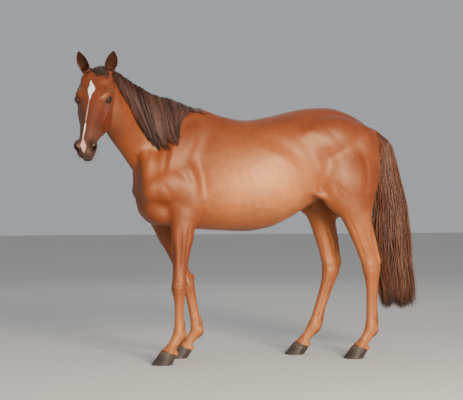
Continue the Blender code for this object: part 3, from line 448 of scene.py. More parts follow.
def body_forms(bm):
    """Trunk, neck and the big muscles of shoulder and hindquarter."""
    level_loft(bm, TRUNK, 60, ring=56)
    neck_loft(bm)
    for s, fore, hind in ((1, "foreleg_left", "hindleg_left"), (-1, "foreleg_right", "hindleg_right")):
        elbow = Vector(LEGS[fore][0][0])
        stifle = Vector(LEGS[hind][0][0])
        # shoulder blade and the muscles on it, from the withers to the point of the shoulder
        blob(bm, (s * 0.112, -0.520, 1.235), (0.070, 0.115, 0.255), (-38, -s * 13, 0))
        blob(bm, (s * 0.140, -0.676, 1.045), (0.068, 0.068, 0.085), (-20, 0, 0))
        blob(bm, (s * 0.165, -0.560, 1.060), (0.062, 0.140, 0.110), (15, 0, 0))
        # the three-headed muscle behind the shoulder, down to the elbow
        blob(bm, (s * 0.160, -0.455, 1.045), (0.064, 0.105, 0.185), (14, -s * 4, 0))
        blob(bm, (elbow.x + s * 0.004, elbow.y + 0.010, 0.900), (0.058, 0.090, 0.110))
        # breast
        blob(bm, (s * 0.066, -0.646, 0.985), (0.090, 0.082, 0.130), (-12, 0, 0))
        blob(bm, (s * 0.085, -0.590, 0.890), (0.075, 0.100, 0.070))
        # side of the neck running into the shoulder
        strap(bm, [(s * 0.060, -0.700, 1.300), (s * 0.105, -0.690, 1.190), (s * 0.135, -0.690, 1.080)], [0.050, 0.062, 0.050])
        # hindquarter: rump, point of the hip, thigh, stifle
        blob(bm, (s * 0.115, 0.410, 1.320), (0.138, 0.270, 0.170), (6, 0, 0))
        blob(bm, (s * 0.198, 0.275, 1.365), (0.045, 0.065, 0.055), (20, 0, 0))
        blob(bm, (s * 0.130, 0.590, 1.250), (0.105, 0.160, 0.200), (-10, 0, 0))
        hip = Vector((s * 0.150, 0.500, 1.250))
        mid = hip.lerp(stifle, 0.45)
        blob(bm, (s * 0.165, mid.y + 0.005, 1.115), (0.100, 0.200, 0.250), (4, 0, 0))
        blob(bm, (s * 0.185, stifle.y - 0.060, 0.975), (0.062, 0.075, 0.095), (-12, 0, 0))
        # hamstrings, from the point of the buttock down the back of the thigh
        back = stifle.y - 0.56
        strap(
            bm,
            [(s * 0.095, 0.680, 1.300), (s * 0.112, 0.693 + back * 0.2, 1.180), (s * 0.135, 0.660 + back * 0.5, 1.020),
             (s * 0.145, 0.635 + back * 0.8, 0.880)],
            [0.070, 0.070, 0.066, 0.055], 1.1,
        )
        # fold of the flank
        strap(bm, [(s * 0.205, 0.270, 1.060), (s * 0.198, 0.330, 1.010), (s * 0.190, stifle.y - 0.110, 0.960)], [0.026, 0.022, 0.024])


def leg_forms(bm, name):
    leg = LEGS[name]
    fore = name.startswith("fore")
    leg_loft(bm, leg, FORE if fore else HIND)

    def at(t, f=0.0, o=0.0):
        return leg_at(leg, t, f, o)

    down = leg_row(leg, 0.5)[3]
    lean = math.degrees(math.atan2(down.y, -down.z))
    if fore:
        # extensor and flexor bellies of the forearm
        blob(bm, at(0.16, 0.026, 0.016), (0.038, 0.046, 0.120), (lean, 0, 0))
        blob(bm, at(0.18, -0.030, 0.008), (0.040, 0.042, 0.115), (lean, 0, 0))
        strap(bm, [at(-0.12, 0.01, -0.03), at(0.25, 0.0, -0.022), at(0.60, 0.0, -0.012)], [0.040, 0.034, 0.022])
        # point of the elbow
        blob(bm, at(-0.10, -0.085, 0.010), (0.026, 0.032, 0.045))
        # knee: pad in front, accessory bone behind
        blob(bm, at(0.97, 0.024, 0.0), (0.036, 0.022, 0.040))
        blob(bm, at(0.95, -0.040, 0.006), (0.016, 0.020, 0.032))
        blob(bm, at(0.90, 0.0, 0.024), (0.020, 0.030, 0.022))
        blob(bm, at(0.90, 0.0, -0.024), (0.020, 0.030, 0.022))
        strap(bm, [at(0.92, -0.036), at(1.2, -0.032), at(1.6, -0.029), at(1.96, -0.034)], [0.018, 0.0125, 0.0120, 0.016])
    else:
        # second thigh
        blob(bm, at(0.14, -0.030, 0.020), (0.050, 0.075, 0.150), (lean * 0.4, 0, 0))
        blob(bm, at(0.20, 0.022, 0.018), (0.042, 0.045, 0.140), (lean, 0, 0))
        blob(bm, at(0.16, -0.020, -0.022), (0.042, 0.070, 0.130), (lean * 0.5, 0, 0))
        # great tendon down to the point of the hock, then the back of the cannon
        strap(bm, [at(0.35, -0.078), at(0.62, -0.072), at(0.82, -0.066), at(0.91, -0.063)], [0.020, 0.0155, 0.0150, 0.019])
        blob(bm, at(0.92, -0.056), (0.019, 0.024, 0.030))
        strap(bm, [at(0.90, -0.058), at(1.05, -0.047), at(1.3, -0.037), at(1.7, -0.034), at(1.96, -0.038)], [0.019, 0.016, 0.0135, 0.0125, 0.017])
        blob(bm, at(1.00, 0.010, 0.022), (0.022, 0.034, 0.028))
        blob(bm, at(1.02, 0.010, -0.022), (0.023, 0.034, 0.030))
        blob(bm, at(0.95, 0.030, 0.0), (0.030, 0.024, 0.045))
    # fetlock: the two bones behind it
    for o in (-0.016, 0.016):
        blob(bm, at(1.97, -0.026, o), (0.017, 0.021, 0.027))
    # bulbs above the heel
    for o in (-0.020, 0.020):
        blob(bm, at(2.86, -0.030, o), (0.020, 0.022, 0.022))


def head_forms(bm):
    """The head in its own frame: skull, jaw, cheeks, orbits, nostril wings, lips and chin."""
    level_loft(bm, SKULL, 70, HEAD, 48)
    level_loft(bm, JAW, 60, HEAD, 40)
    for s in (1, -1):
        # cheek
        blob(bm, (s * 0.044, -0.150, -0.165), (0.043, 0.115, 0.105), (0, 0, 0), HEAD)
        # temple, brow, lids and the bony rim behind the eye
        blob(bm, (s * 0.040, -0.075, -0.022), (0.054, 0.100, 0.042), (0, 0, 0), HEAD)
        blob(bm, (s * 0.070, -0.200, -0.028), (0.036, 0.065, 0.034), (0, 0, s * 6), HEAD)
        blob(bm, (s * 0.082, -0.222, -0.044), (0.0270, 0.038, 0.0275), (0, 0, s * 6), HEAD)
        strap(bm, [(s * 0.092, -0.178, -0.050), (s * 0.094, -0.110, -0.052), (s * 0.078, -0.035, -0.055)], [0.015, 0.015, 0.017], place=HEAD)
        # facial crest
        strap(bm, [(s * 0.082, -0.232, -0.090), (s * 0.068, -0.310, -0.103), (s * 0.051, -0.380, -0.112)], [0.015, 0.012, 0.007], place=HEAD)
        # nostril wing, upper lip, corner of the mouth
        blob(bm, (s * 0.043, -0.564, -0.099), (0.0230, 0.041, 0.031), (-22, 0, s * 8), HEAD)
        strap(bm, [(s * 0.014, -0.614, -0.144), (s * 0.035, -0.586, -0.146), (s * 0.039, -0.530, -0.144)], [0.015, 0.016, 0.013], place=HEAD)
        blob(bm, (s * 0.032, -0.015, -0.080), (0.042, 0.056, 0.070), (0, 0, 0), HEAD)
    # upper lip and chin
    blob(bm, (0, -0.592, -0.126), (0.045, 0.030, 0.030), (0, 0, 0), HEAD)
    blob(bm, (0, -0.562, -0.188), (0.034, 0.034, 0.020), (0, 0, 0), HEAD)
    # throat between the jaws, and the way from the poll into the neck
    blob(bm, (0, -0.120, -0.165), (0.060, 0.130, 0.075), (0, 0, 0), HEAD)
    blob(bm, (0, 0.020, -0.066), (0.056, 0.070, 0.062), (20, 0, 0), HEAD)


def throat_forms(bm):
    """The meeting of head and neck."""
    back = HEAD @ Vector((0, 0.01, -0.10))
    blob(bm, back, (0.070, 0.080, 0.120), (0, 0, 0))


TAIL = (  # z, y of the middle, half depth, half width
    (1.408, 0.742, 0.020, 0.034),
    (1.385, 0.778, 0.030, 0.038),
    (1.352, 0.818, 0.036, 0.041),
    (1.310, 0.848, 0.038, 0.042),
    (1.240, 0.864, 0.044, 0.046),
    (1.150, 0.870, 0.058, 0.056),
    (1.050, 0.873, 0.076, 0.068),
    (0.900, 0.878, 0.101, 0.082),
    (0.780, 0.880, 0.115, 0.089),
    (0.600, 0.890, 0.116, 0.090),
    (0.455, 0.912, 0.109, 0.083),
    (0.350, 0.916, 0.096, 0.072),
    (0.306, 0.914, 0.080, 0.060),
)

MANE = (  # place along the neck (0 withers, 1 poll), how far the hair falls, how far its tip lies back, thickness of the hang
    (0.040, 0.020, 0.010, 0.008),
    (0.140, 0.040, 0.015, 0.011),
    (0.215, 0.070, 0.010, 0.014),
    (0.250, 0.140, -0.004, 0.018),
    (0.285, 0.235, -0.012, 0.022),
    (0.355, 0.290, -0.008, 0.024),
    (0.430, 0.325, 0.000, 0.025),
    (0.500, 0.330, 0.012, 0.025),
    (0.570, 0.310, 0.022, 0.024),
    (0.640, 0.255, 0.020, 0.022),
    (0.715, 0.185, 0.012, 0.020),
    (0.780, 0.110, 0.008, 0.017),
    (0.830, 0.065, 0.004, 0.013),
)


def hoof_rings(name, steps=6, count=28, drop=0.0, grow=0.0):
    """Rings of a hoof, from the ground to its upper rim."""
    joints, _, turn = LEGS[name]
    turn = math.radians(turn)
    front = Vector((math.sin(turn), -math.cos(turn), 0))
    side = front.cross(Z).normalized()
    if side.x * joints[0][0] < 0:
        side.negate()
    base = Vector((joints[3][0], joints[3][1], GROUND))
    tilt = math.tan(math.radians(CORONET_TILT))
    rim = joints[3][2] - GROUND
    rings = []
    for k in range(steps):
        a = k / (steps - 1)
        ring = []
        for i in range(count):
            t = 2 * math.pi * i / count
            c, s = math.cos(t), math.sin(t)
            toe = max(c, 0)
            # ground outline: round toe, narrower straight heels
            low_f = 0.0450 + 0.0630 * c
            low_s = 0.0620 * s * (1 - 0.10 * max(-c, 0) ** 2)
            top_f = -0.0030 + 0.0465 * c
            top_s = 0.0455 * s
            f = low_f + (top_f - low_f) * a
            w = low_s + (top_s - low_s) * a
            z = (rim + top_f * tilt - drop) * a
            ring.append(base + front * (f + grow * c) + side * (w + grow * s) + Z * z)
        rings.append(ring)
    return rings


def ear_rings(s, steps=14, count=20):
    """Rings of an ear as one solid leaf, in the world; s is 1 for the left ear."""
    root = Vector((s * EAR_ROOT.x, EAR_ROOT.y, EAR_ROOT.z))
    axis = Vector((s * EAR_AXIS.x + EAR_SWING, EAR_AXIS.y, EAR_AXIS.z)).normalized()
    face = Vector((s * 0.30, -0.85, 0.40))  # the way the hollow looks
    face = (face - axis * face.dot(axis)).normalized()
    wide = axis.cross(face).normalized()
    place = np.linspace(-0.12, 1, steps)
    width = hermite((-0.12, 0.0, 0.18, 0.42, 0.66, 0.85, 0.95, 1), (0.021, 0.0250, 0.0325, 0.0355, 0.0290, 0.0165, 0.0085, 0.0020), place)
    thick = hermite((-0.12, 0.0, 0.20, 0.45, 0.70, 0.90, 1), (0.022, 0.0230, 0.0200, 0.0150, 0.0100, 0.0052, 0.0016), place)
    rings = []
    for t, w, h in zip(place, width, thick):
        centre = root + axis * (t * EAR_LENGTH) + face * (0.010 * t * t) - wide * (s * 0.0 * t)
        centre -= Vector((s, 0, 0)) * (0.010 * max(t, 0) ** 3)
        ring = section(centre, wide, face, w, h, h, 2.0, 2.0, count)
        rings.append([HEAD @ p for p in ring])
    return rings


# ---------------------------------------------------------------- modelling of the surface


class Clay:
    """The skin's points and directions held in memory while it is modelled."""

    def __init__(self, obj):
        self.obj, self.co, self.no = obj, coords(obj), normals(obj)

    def done(self):
        set_coords(self.obj, self.co)


def line_distance(co, points):
    """Distance of each point from a polyline, and how far along it (0 to 1) the nearest place is."""
    p = np.array(points, float)
    length = np.concatenate([[0], np.cumsum(np.linalg.norm(np.diff(p, axis=0), axis=1))])
    best = np.full(len(co), 1e9)
    along = np.zeros(len(co))
    for i in range(len(p) - 1):
        a, d = p[i], p[i + 1] - p[i]
        t = np.clip(((co - a) @ d) / max(d @ d, 1e-12), 0, 1)
        dist = np.linalg.norm(co - a - t[:, None] * d, axis=1)
        less = dist < best
        best = np.where(less, dist, best)
        along = np.where(less, (length[i] + t * (length[i + 1] - length[i])) / length[-1], along)
    return best, along


def press(clay, points, radius, depth, fade=0.25, curve=12):
    """Presses a groove along a curve (or raises a ridge where depth is negative), fading out at both ends."""
    line = [tuple(p) for p in smooth_path(points, curve)]
    low, high = np.min(line, axis=0) - radius * 1.3, np.max(line, axis=0) + radius * 1.3
    near = np.flatnonzero((clay.co[:, 1] > low[1]) & (clay.co[:, 1] < high[1]))
    near = near[((clay.co[near] > low) & (clay.co[near] < high)).all(1)]
    if len(near):
        dist, along = line_distance(clay.co[near], line)
        amount = np.exp(-((dist / (radius * 0.5)) ** 2)) * (dist < radius * 1.3)
        if fade > 0:
            amount *= np.clip(along / fade, 0, 1) * np.clip((1 - along) / fade, 0, 1)
        clay.co[near] -= clay.no[near] * (amount * depth)[:, None]


def dent(clay, centre, radii, depth, turn=None):
    """Presses a soft hollow round a point (or raises a mound where depth is negative)."""
    centre = np.array(centre, float)
    near = np.flatnonzero((np.abs(clay.co - centre) < 2 * max(radii)).all(1))
    local = clay.co[near] - centre
    if turn is not None:
        local = local @ np.array(turn.to_3x3())
    d = np.linalg.norm(local / np.array(radii, float), axis=1)
    amount = np.exp(-((d * 1.4) ** 2)) * (d < 2)
    clay.co[near] -= clay.no[near] * (amount * depth)[:, None]


# ---------------------------------------------------------------- the skin

FINE = 0.0062
SHIFT = np.array([-ORIGIN[0], -ORIGIN[1], -GROUND])
COAT = 0.0015  # depth of the short coat over the skin
LOOK = Vector((0.670, -0.680, 0.280))  # the way the lids of the left eye open, in the head's frame
EYE_WIDE, EYE_HIGH, EYE_LOW = 0.0200, 0.0112, 0.0088  # half width and height of that opening
rng = np.random.default_rng(7)


def hd(x, y, z):
    return HEAD @ Vector((x, y, z))


def solve(obj, cutter, operation):
    """Boolean with the fast manifold solver."""
    m = obj.modifiers.new("cut", "BOOLEAN")
    m.operation, m.object, m.solver = operation, cutter, "MANIFOLD"
    applied(obj)
    bpy.data.objects.remove(cutter)
    return obj


def local_of(co):
    """World coordinates in the head's own frame."""
    inverse = np.array(HEAD.inverted())
    return co @ inverse[:3, :3].T + inverse[:3, 3]


def step(x, low, high):
    """Smooth step from 0 at low to 1 at high."""
    t = np.clip((np.asarray(x, float) - low) / (high - low), 0, 1)
    return t * t * (3 - 2 * t)


def value_noise(p, scale, seed=0):
    """Smooth random field in -1..1."""
    p = np.asarray(p, float) * scale
    cell = np.floor(p).astype(np.int64)
    f = p - cell
    f = f * f * (3 - 2 * f)

    def corner(dx, dy, dz):
        n = (cell[:, 0] + dx) * 73856093 ^ (cell[:, 1] + dy) * 19349663 ^ (cell[:, 2] + dz) * 83492791 ^ (seed * 2654435)
        n = (n ^ (n >> 13)) * 1274126177 & 0x7FFFFFFF
        return n / 0x7FFFFFFF * 2 - 1

    out = np.zeros(len(p))
    for dx in (0, 1):
        for dy in (0, 1):
            for dz in (0, 1):
                w = (f[:, 0] if dx else 1 - f[:, 0]) * (f[:, 1] if dy else 1 - f[:, 1]) * (f[:, 2] if dz else 1 - f[:, 2])
                out += w * corner(dx, dy, dz)
    return out


def fused_skin():
    bm = bmesh.new()
    body_forms(bm)
    for name in LEGS:
        leg_forms(bm, name)
    head_forms(bm)
    throat_forms(bm)
    strap(bm, [(0, 0.660, 1.400), (0, 0.740, 1.396), (0, 0.800, 1.352), (0, 0.838, 1.290), (0, 0.850, 1.230)], [0.036, 0.034, 0.031, 0.028, 0.020], 1.15)
    skin = fuse(to_object(bm, "skin"), FINE)
    again = (0.008 / FINE) ** 2
    co = coords(skin)
    soft = np.full(len(co), 1.0)
    soft[co[:, 2] < 0.74] = 0.12
    low = (co[:, 2] >= 0.74) & (co[:, 2] < 0.90)
    soft[low] = 0.12 + (co[low, 2] - 0.74) / 0.16 * 0.88
    soft = np.minimum(soft, 1 - 0.85 * near_ball(co, HEAD @ Vector((0, -0.30, -0.10)), 0.40, 0.3))
    weighted_smooth(skin, soft, int(60 * again))
    co = coords(skin)
    weighted_smooth(skin, near_ball(co, (0, -0.70, 1.06), 0.24, 0.5), int(40 * again))
    co = coords(skin)
    soft = np.zeros(len(co))
    for name, leg in LEGS.items():
        for t, f in ((0.30, 0.045), (0.48, 0.035)) if name.startswith("fore") else ((0.25, 0.060), (0.50, 0.045)):
            soft = np.maximum(soft, near_ball(co, tuple(leg_at(leg, t, f)), 0.095, 0.7))
    weighted_smooth(skin, soft, int(26 * again))
    # the point of the hip and the poll run softly into what is round them
    co = coords(skin)
    soft = near_ball(co, HEAD @ Vector((-0.020, 0.060, -0.060)), 0.120, 0.6)
    for s in (1, -1):
        soft = np.maximum(soft, near_ball(co, (s * 0.215, 0.270, 1.380), 0.115, 0.7))
    weighted_smooth(skin, soft, int(60 * again))
    # the far side of the poll runs down into the neck
    co = coords(skin)
    soft = near_ball(co, HEAD @ Vector((-0.050, 0.072, -0.030)), 0.110, 0.9)
    set_coords(skin, co - normals(skin) * (0.020 * soft)[:, None])
    return skin


def refined(skin, balls):
    """Halves the edges inside the balls."""
    bm = bmesh.new()
    bm.from_mesh(skin.data)
    co = coords(skin)
    inside = np.zeros(len(co), bool)
    for centre, radius in balls:
        inside |= np.linalg.norm(co - np.array(centre), axis=1) < radius
    bm.verts.ensure_lookup_table()
    edges = [e for e in bm.edges if inside[e.verts[0].index] and inside[e.verts[1].index]]
    bmesh.ops.subdivide_edges(bm, edges=edges, cuts=1, use_grid_fill=True)
    bm.to_mesh(skin.data)
    bm.free()
    co = coords(skin)
    soft = np.zeros(len(co))
    for centre, radius in balls:
        soft = np.maximum(soft, near_ball(co, centre, radius * 1.02, 0.15))
    weighted_smooth(skin, soft, 4)
    return skin


def skin_tree(skin):
    mesh = skin.data
    co = coords(skin)
    count = len(mesh.loop_triangles)
    if not count:
        mesh.calc_loop_triangles()
        count = len(mesh.loop_triangles)
    tri = np.empty(count * 3, np.int32)
    mesh.loop_triangles.foreach_get("vertices", tri)
    return BVHTree.FromPolygons(co.tolist(), tri.reshape(-1, 3).tolist())


def touch(tree, s, y, z):
    """The side of the head at a place given in its own frame; s is 1 for the left side."""
    hit = tree.ray_cast(hd(s * 0.30, y, z), HEAD.to_3x3() @ Vector((-s, 0, 0)))[0]
    return hit if hit is not None else hd(s * 0.05, y, z)


def touch_top(tree, x, y):
    hit = tree.ray_cast(hd(x, y, 0.20), HEAD.to_3x3() @ Vector((0, 0, -1)))[0]
    return hit if hit is not None else hd(x, y, 0.0)


def touch_front(tree, x, z):
    hit = tree.ray_cast(hd(x, -0.80, z), HEAD.to_3x3() @ Vector((0, 1, 0)))[0]
    return hit if hit is not None else hd(x, -0.6, z)


def eye_frame(s):
    """Centre and axes of an eye in the world: towards the nose, up and out."""
    look = Vector((s * LOOK.x, LOOK.y, LOOK.z)).normalized()
    along = Vector((0, -1, 0.08))
    along = (along - look * along.dot(look)).normalized()
    up = along.cross(look) * (1 if s > 0 else -1)
    if up.z < 0:
        up.negate()
    turn = HEAD.to_3x3()
    return HEAD @ Vector((s * EYE.x, EYE.y, EYE.z)), turn @ along, turn @ up, turn @ look


def eyelids(clay, s):
    """Lids drawn over the ball, with their folds."""
    c, along, up, look = eye_frame(s)
    v = clay.co - np.array(c)
    near = np.flatnonzero(np.linalg.norm(v, axis=1) < 0.075)
    v = v[near]
    r = np.linalg.norm(v, axis=1)
    a, u, l = v @ np.array(along), v @ np.array(up), v @ np.array(look)
    angle = np.degrees(np.arctan2(np.hypot(a * 0.80, u), l))
    cover = 1 - step(angle, 46, 84)
    lid = 0.0032 + 0.0012 * np.exp(-(((u - 0.012) / 0.005) ** 2)) * (a * a < 0.0006)
    new_r = r + (EYE_RADIUS + lid - r) * cover
    clay.co[near] = np.array(c) + v / r[:, None] * new_r[:, None]

    def arc(height, wide, drop=0.0, out=0.0035):
        found = []
        for k in range(9):
            t = -1 + 2 * k / 8
            p = along * (wide * t) + up * (height * (1 - t * t) + drop * t)
            p = p + look * math.sqrt(max((EYE_RADIUS + out) ** 2 - p.length_squared, 0.00004))
            found.append(c + p)
        return found

    for height, wide, depth, radius in ((0.0165, 0.024, 0.0019, 0.0040), (0.0215, 0.027, -0.0010, 0.0050), (0.0262, 0.029, 0.0014, 0.0045),
                                        (-0.0135, 0.022, 0.0013, 0.0040), (-0.0185, 0.025, 0.0010, 0.0048)):
        press(clay, arc(height, wide, -0.002), radius, depth, 0.2)


def eye_cutters():
    """The sockets, and the openings between the lids."""
    bm = bmesh.new()
    for s in (1, -1):
        c, along, up, look = eye_frame(s)
        bmesh.ops.create_uvsphere(bm, u_segments=64, v_segments=40, radius=EYE_RADIUS + 0.0004, matrix=Matrix.Translation(c))
    sockets = to_object(bm, "sockets")
    bm = bmesh.new()
    for s in (1, -1):
        c, along, up, look = eye_frame(s)
        rings = []
        for k in range(10):
            d = EYE_RADIUS * 0.35 + 0.034 * k / 9
            grow = 0.80 + 0.22 * k / 9
            ring = []
            for i in range(56):
                t = 2 * math.pi * i / 56
                ca, sa = math.cos(t), math.sin(t)
                high = EYE_HIGH if sa > 0 else EYE_LOW
                x = EYE_WIDE * math.copysign(abs(ca) ** 0.92, ca)
                y = high * math.copysign(abs(sa) ** 1.15, sa)
                # the corner towards the nose is drawn out and lower
                if ca > 0:
                    x += 0.0050 * ca**6
                y -= 0.0030 * ca
                ring.append(c + along * (x * grow) + up * ((y + 0.0010) * grow) + look * d)
            rings.append(ring)
        loft(bm, rings)
    return sockets, to_object(bm, "openings")


def nostril_form(bm, s):
    line = smooth_path([(s * 0.0590, -0.614, -0.103), (s * 0.0445, -0.584, -0.098), (s * 0.0320, -0.548, -0.092), (s * 0.0240, -0.512, -0.086)], 14)
    long = hermite((0, 0.35, 0.7, 1), (0.0235, 0.0225, 0.0150, 0.0050), np.linspace(0, 1, 14))
    wide = hermite((0, 0.35, 0.7, 1), (0.0175, 0.0135, 0.0095, 0.0040), np.linspace(0, 1, 14))
    rings = []
    for k, p in enumerate(line):
        go = (line[min(k + 1, 13)] - line[max(k - 1, 0)]).normalized()
        tall = Vector((s * 0.10, 0.62, 0.78))
        tall = (tall - go * tall.dot(go)).normalized()
        side = go.cross(tall).normalized()
        if side.x * s < 0:
            side.negate()
        ring = []
        for i in range(28):
            t = 2 * math.pi * i / 28
            ca, sa = math.cos(t), math.sin(t)
            # a comma: round below, drawn to a point above and outwards
            w = wide[k] * (1 - 0.35 * max(sa, 0) ** 1.5)
            ring.append(p + tall * (long[k] * sa) + side * (w * ca + 0.006 * max(sa, 0) ** 2 - 0.002 * max(-sa, 0)))
        rings.append([HEAD @ q for q in ring])
    loft(bm, rings)


def ear_shell(bm, s, steps=40, count=44):
    """An ear as a cupped leaf open towards the front, closed to a tube at its root."""
    root = Vector((s * EAR_ROOT.x, EAR_ROOT.y, EAR_ROOT.z))
    axis = Vector((s * EAR_AXIS.x + EAR_SWING, EAR_AXIS.y, EAR_AXIS.z)).normalized()
    face = Vector((s * 0.30, -0.85, 0.40))
    face = (face - axis * face.dot(axis)).normalized()
    wide = axis.cross(face).normalized()
    if wide.x * s < 0:
        wide.negate()
    place = np.linspace(-0.16, 1, steps)
    width = hermite((-0.16, 0.0, 0.18, 0.42, 0.66, 0.85, 0.95, 1), (0.0240, 0.0260, 0.0325, 0.0350, 0.0285, 0.0165, 0.0085, 0.0018), place)
    deep = hermite((-0.16, 0.0, 0.20, 0.45, 0.70, 0.90, 1), (0.024, 0.0250, 0.0215, 0.0160, 0.0110, 0.0056, 0.0014), place)
    cup = np.array([float(step(t, 0.00, 0.20)) for t in place])
    rings = []
    half = count // 2
    for t, w, h, c in zip(place, width, deep, cup):
        centre = root + axis * (t * EAR_LENGTH) + face * (0.008 * t * t) - Vector((s, 0, 0)) * (0.010 * max(t, 0) ** 3)
        wall = min(0.0036, w * 0.45)
        ring = []
        for i in range(half):
            a = math.pi * i / half
            ring.append(centre + wide * (w * math.cos(a)) - face * (h * math.sin(a)))
        for i in range(half):
            a = math.pi * i / half
            inner_w = w - wall * 0.6 * math.sin(a)
            front = h * 0.72 * math.sin(a)
            hollow = -(h - wall) * math.sin(a) + wall * 0.5
            ring.append(centre - wide * (inner_w * math.cos(a)) + face * (front * (1 - c) + hollow * c))
        rings.append([HEAD @ p for p in ring])
    loft(bm, rings)


def side_at(tree, s, y, z, low=0.0):
    """The flank, shoulder or thigh at a place along the horse and a height; s is 1 for the left side."""
    hit = tree.ray_cast(Vector((s * 0.60, y, z)), Vector((-s, 0, 0)), 0.60 - low)[0]
    return hit if hit is not None else Vector((s * 0.2, y, z))


def body_details(clay, tree):
    """Grooves and ridges where muscles, bones and veins show through."""
    for s in (1, -1):
        def w(*points):
            return [side_at(tree, s, y, z) for y, z in points]

        # front edge of the shoulder blade, with the groove before it, and its spine
        press(clay, w((-0.515, 1.490), (-0.532, 1.400), (-0.575, 1.315), (-0.610, 1.180), (-0.628, 1.110)), 0.036, 0.0052, 0.25, 20)
        press(clay, w((-0.485, 1.490), (-0.500, 1.405), (-0.543, 1.315), (-0.575, 1.180), (-0.595, 1.105)), 0.032, -0.0040, 0.25, 20)
        press(clay, w((-0.440, 1.455), (-0.475, 1.345), (-0.520, 1.230)), 0.055, 0.0026, 0.35)
        press(clay, w((-0.400, 1.430), (-0.440, 1.300), (-0.500, 1.170)), 0.050, -0.0026, 0.35)
        # rear edge of the shoulder and of the triceps, and the hollow behind them
        press(clay, w((-0.300, 1.420), (-0.345, 1.330), (-0.385, 1.230)), 0.070, 0.0042, 0.35)
        press(clay, w((-0.480, 1.235), (-0.455, 1.150), (-0.440, 1.060), (-0.440, 0.985)), 0.055, -0.0040, 0.3)
        press(clay, w((-0.415, 1.250), (-0.385, 1.150), (-0.375, 1.060), (-0.385, 0.975)), 0.060, 0.0095, 0.3)
        press(clay, w((-0.560, 1.150), (-0.500, 1.120), (-0.445, 1.055), (-0.420, 0.990)), 0.042, 0.0036, 0.3)
        press(clay, w((-0.640, 1.080), (-0.590, 1.020), (-0.560, 0.960)), 0.042, 0.0036, 0.3)
        # strap muscle at the base of the neck
        press(clay, w((-0.700, 1.310), (-0.735, 1.250), (-0.755, 1.190)), 0.026, -0.0022, 0.35)
        press(clay, w((-0.672, 1.310), (-0.702, 1.240), (-0.720, 1.180)), 0.028, 0.0024, 0.35)
        # jugular groove
        press(clay, [(s * 0.075, -0.790, 1.280), (s * 0.105, -0.755, 1.200), (s * 0.120, -0.735, 1.120)], 0.030, 0.0040, 0.35)
        # ribs
        for k in range(8):
            y = -0.215 + 0.054 * k
            press(clay, w((y - 0.018, 1.250), (y, 1.150), (y + 0.020, 1.040), (y + 0.035, 0.950)), 0.028, -0.0007, 0.45, 16)
        # the belly's oblique muscle: its upper edge, and the hollow of the flank above it
        press(clay, w((-0.090, 1.370), (0.065, 1.325), (0.185, 1.240), (0.285, 1.130)), 0.085, 0.0070, 0.35)
        press(clay, w((-0.100, 1.290), (0.055, 1.240), (0.170, 1.150), (0.255, 1.045)), 0.065, -0.0042, 0.35)
        press(clay, w((0.240, 1.385), (0.285, 1.290), (0.330, 1.190), (0.385, 1.080)), 0.060, -0.0042, 0.3)
        press(clay, w((0.330, 1.330), (0.385, 1.240), (0.440, 1.150)), 0.060, 0.0040, 0.35)
        # rump and thigh
        press(clay, w((0.330, 1.440), (0.400, 1.385), (0.480, 1.290), (0.520, 1.180)), 0.060, 0.0036, 0.35)
        press(clay, w((0.420, 1.100), (0.440, 1.030), (0.470, 0.975)), 0.040, 0.0034, 0.3)
        press(clay, w((0.590, 1.300), (0.625, 1.190), (0.630, 1.070), (0.610, 0.960)), 0.046, 0.0040, 0.3)
        # veins under the skin of the belly and the thigh
        press(clay, w((-0.230, 0.985), (-0.120, 0.945), (0.010, 0.925), (0.100, 0.945)), 0.011, -0.0011, 0.15, 24)
        press(clay, w((-0.060, 1.245), (-0.045, 1.215), (-0.052, 1.185)), 0.009, -0.0011, 0.2, 16)
        press(clay, w((-0.005, 1.260), (0.010, 1.225), (0.006, 1.195)), 0.009, -0.0010, 0.2, 16)
        # fine folds where the stifle and the elbow bend
        for k in range(4):
            y = 0.440 + 0.012 * k
            press(clay, w((y, 1.075 - 0.010 * k), (y + 0.016, 1.050 - 0.010 * k), (y + 0.020, 1.020 - 0.008 * k)), 0.010, 0.0013, 0.3, 10)
        for k in range(3):
            press(clay, w((-0.362 + 0.012 * k, 0.935), (-0.372 + 0.012 * k, 0.905), (-0.376 + 0.012 * k, 0.875)), 0.010, 0.0012, 0.3, 10)
    # breastbone groove, spine and the cleft under the tail
    press(clay, [(0, -0.735, 1.160), (0, -0.760, 1.040), (0, -0.700, 0.900)], 0.045, 0.008, 0.3)
    press(clay, [(0, -0.150, 1.475), (0, 0.150, 1.505), (0, 0.400, 1.550), (0, 0.600, 1.510)], 0.036, 0.0022, 0.2, 20)
    press(clay, [(0, 0.770, 1.300), (0, 0.780, 1.150), (0, 0.720, 1.000)], 0.060, 0.014, 0.3)


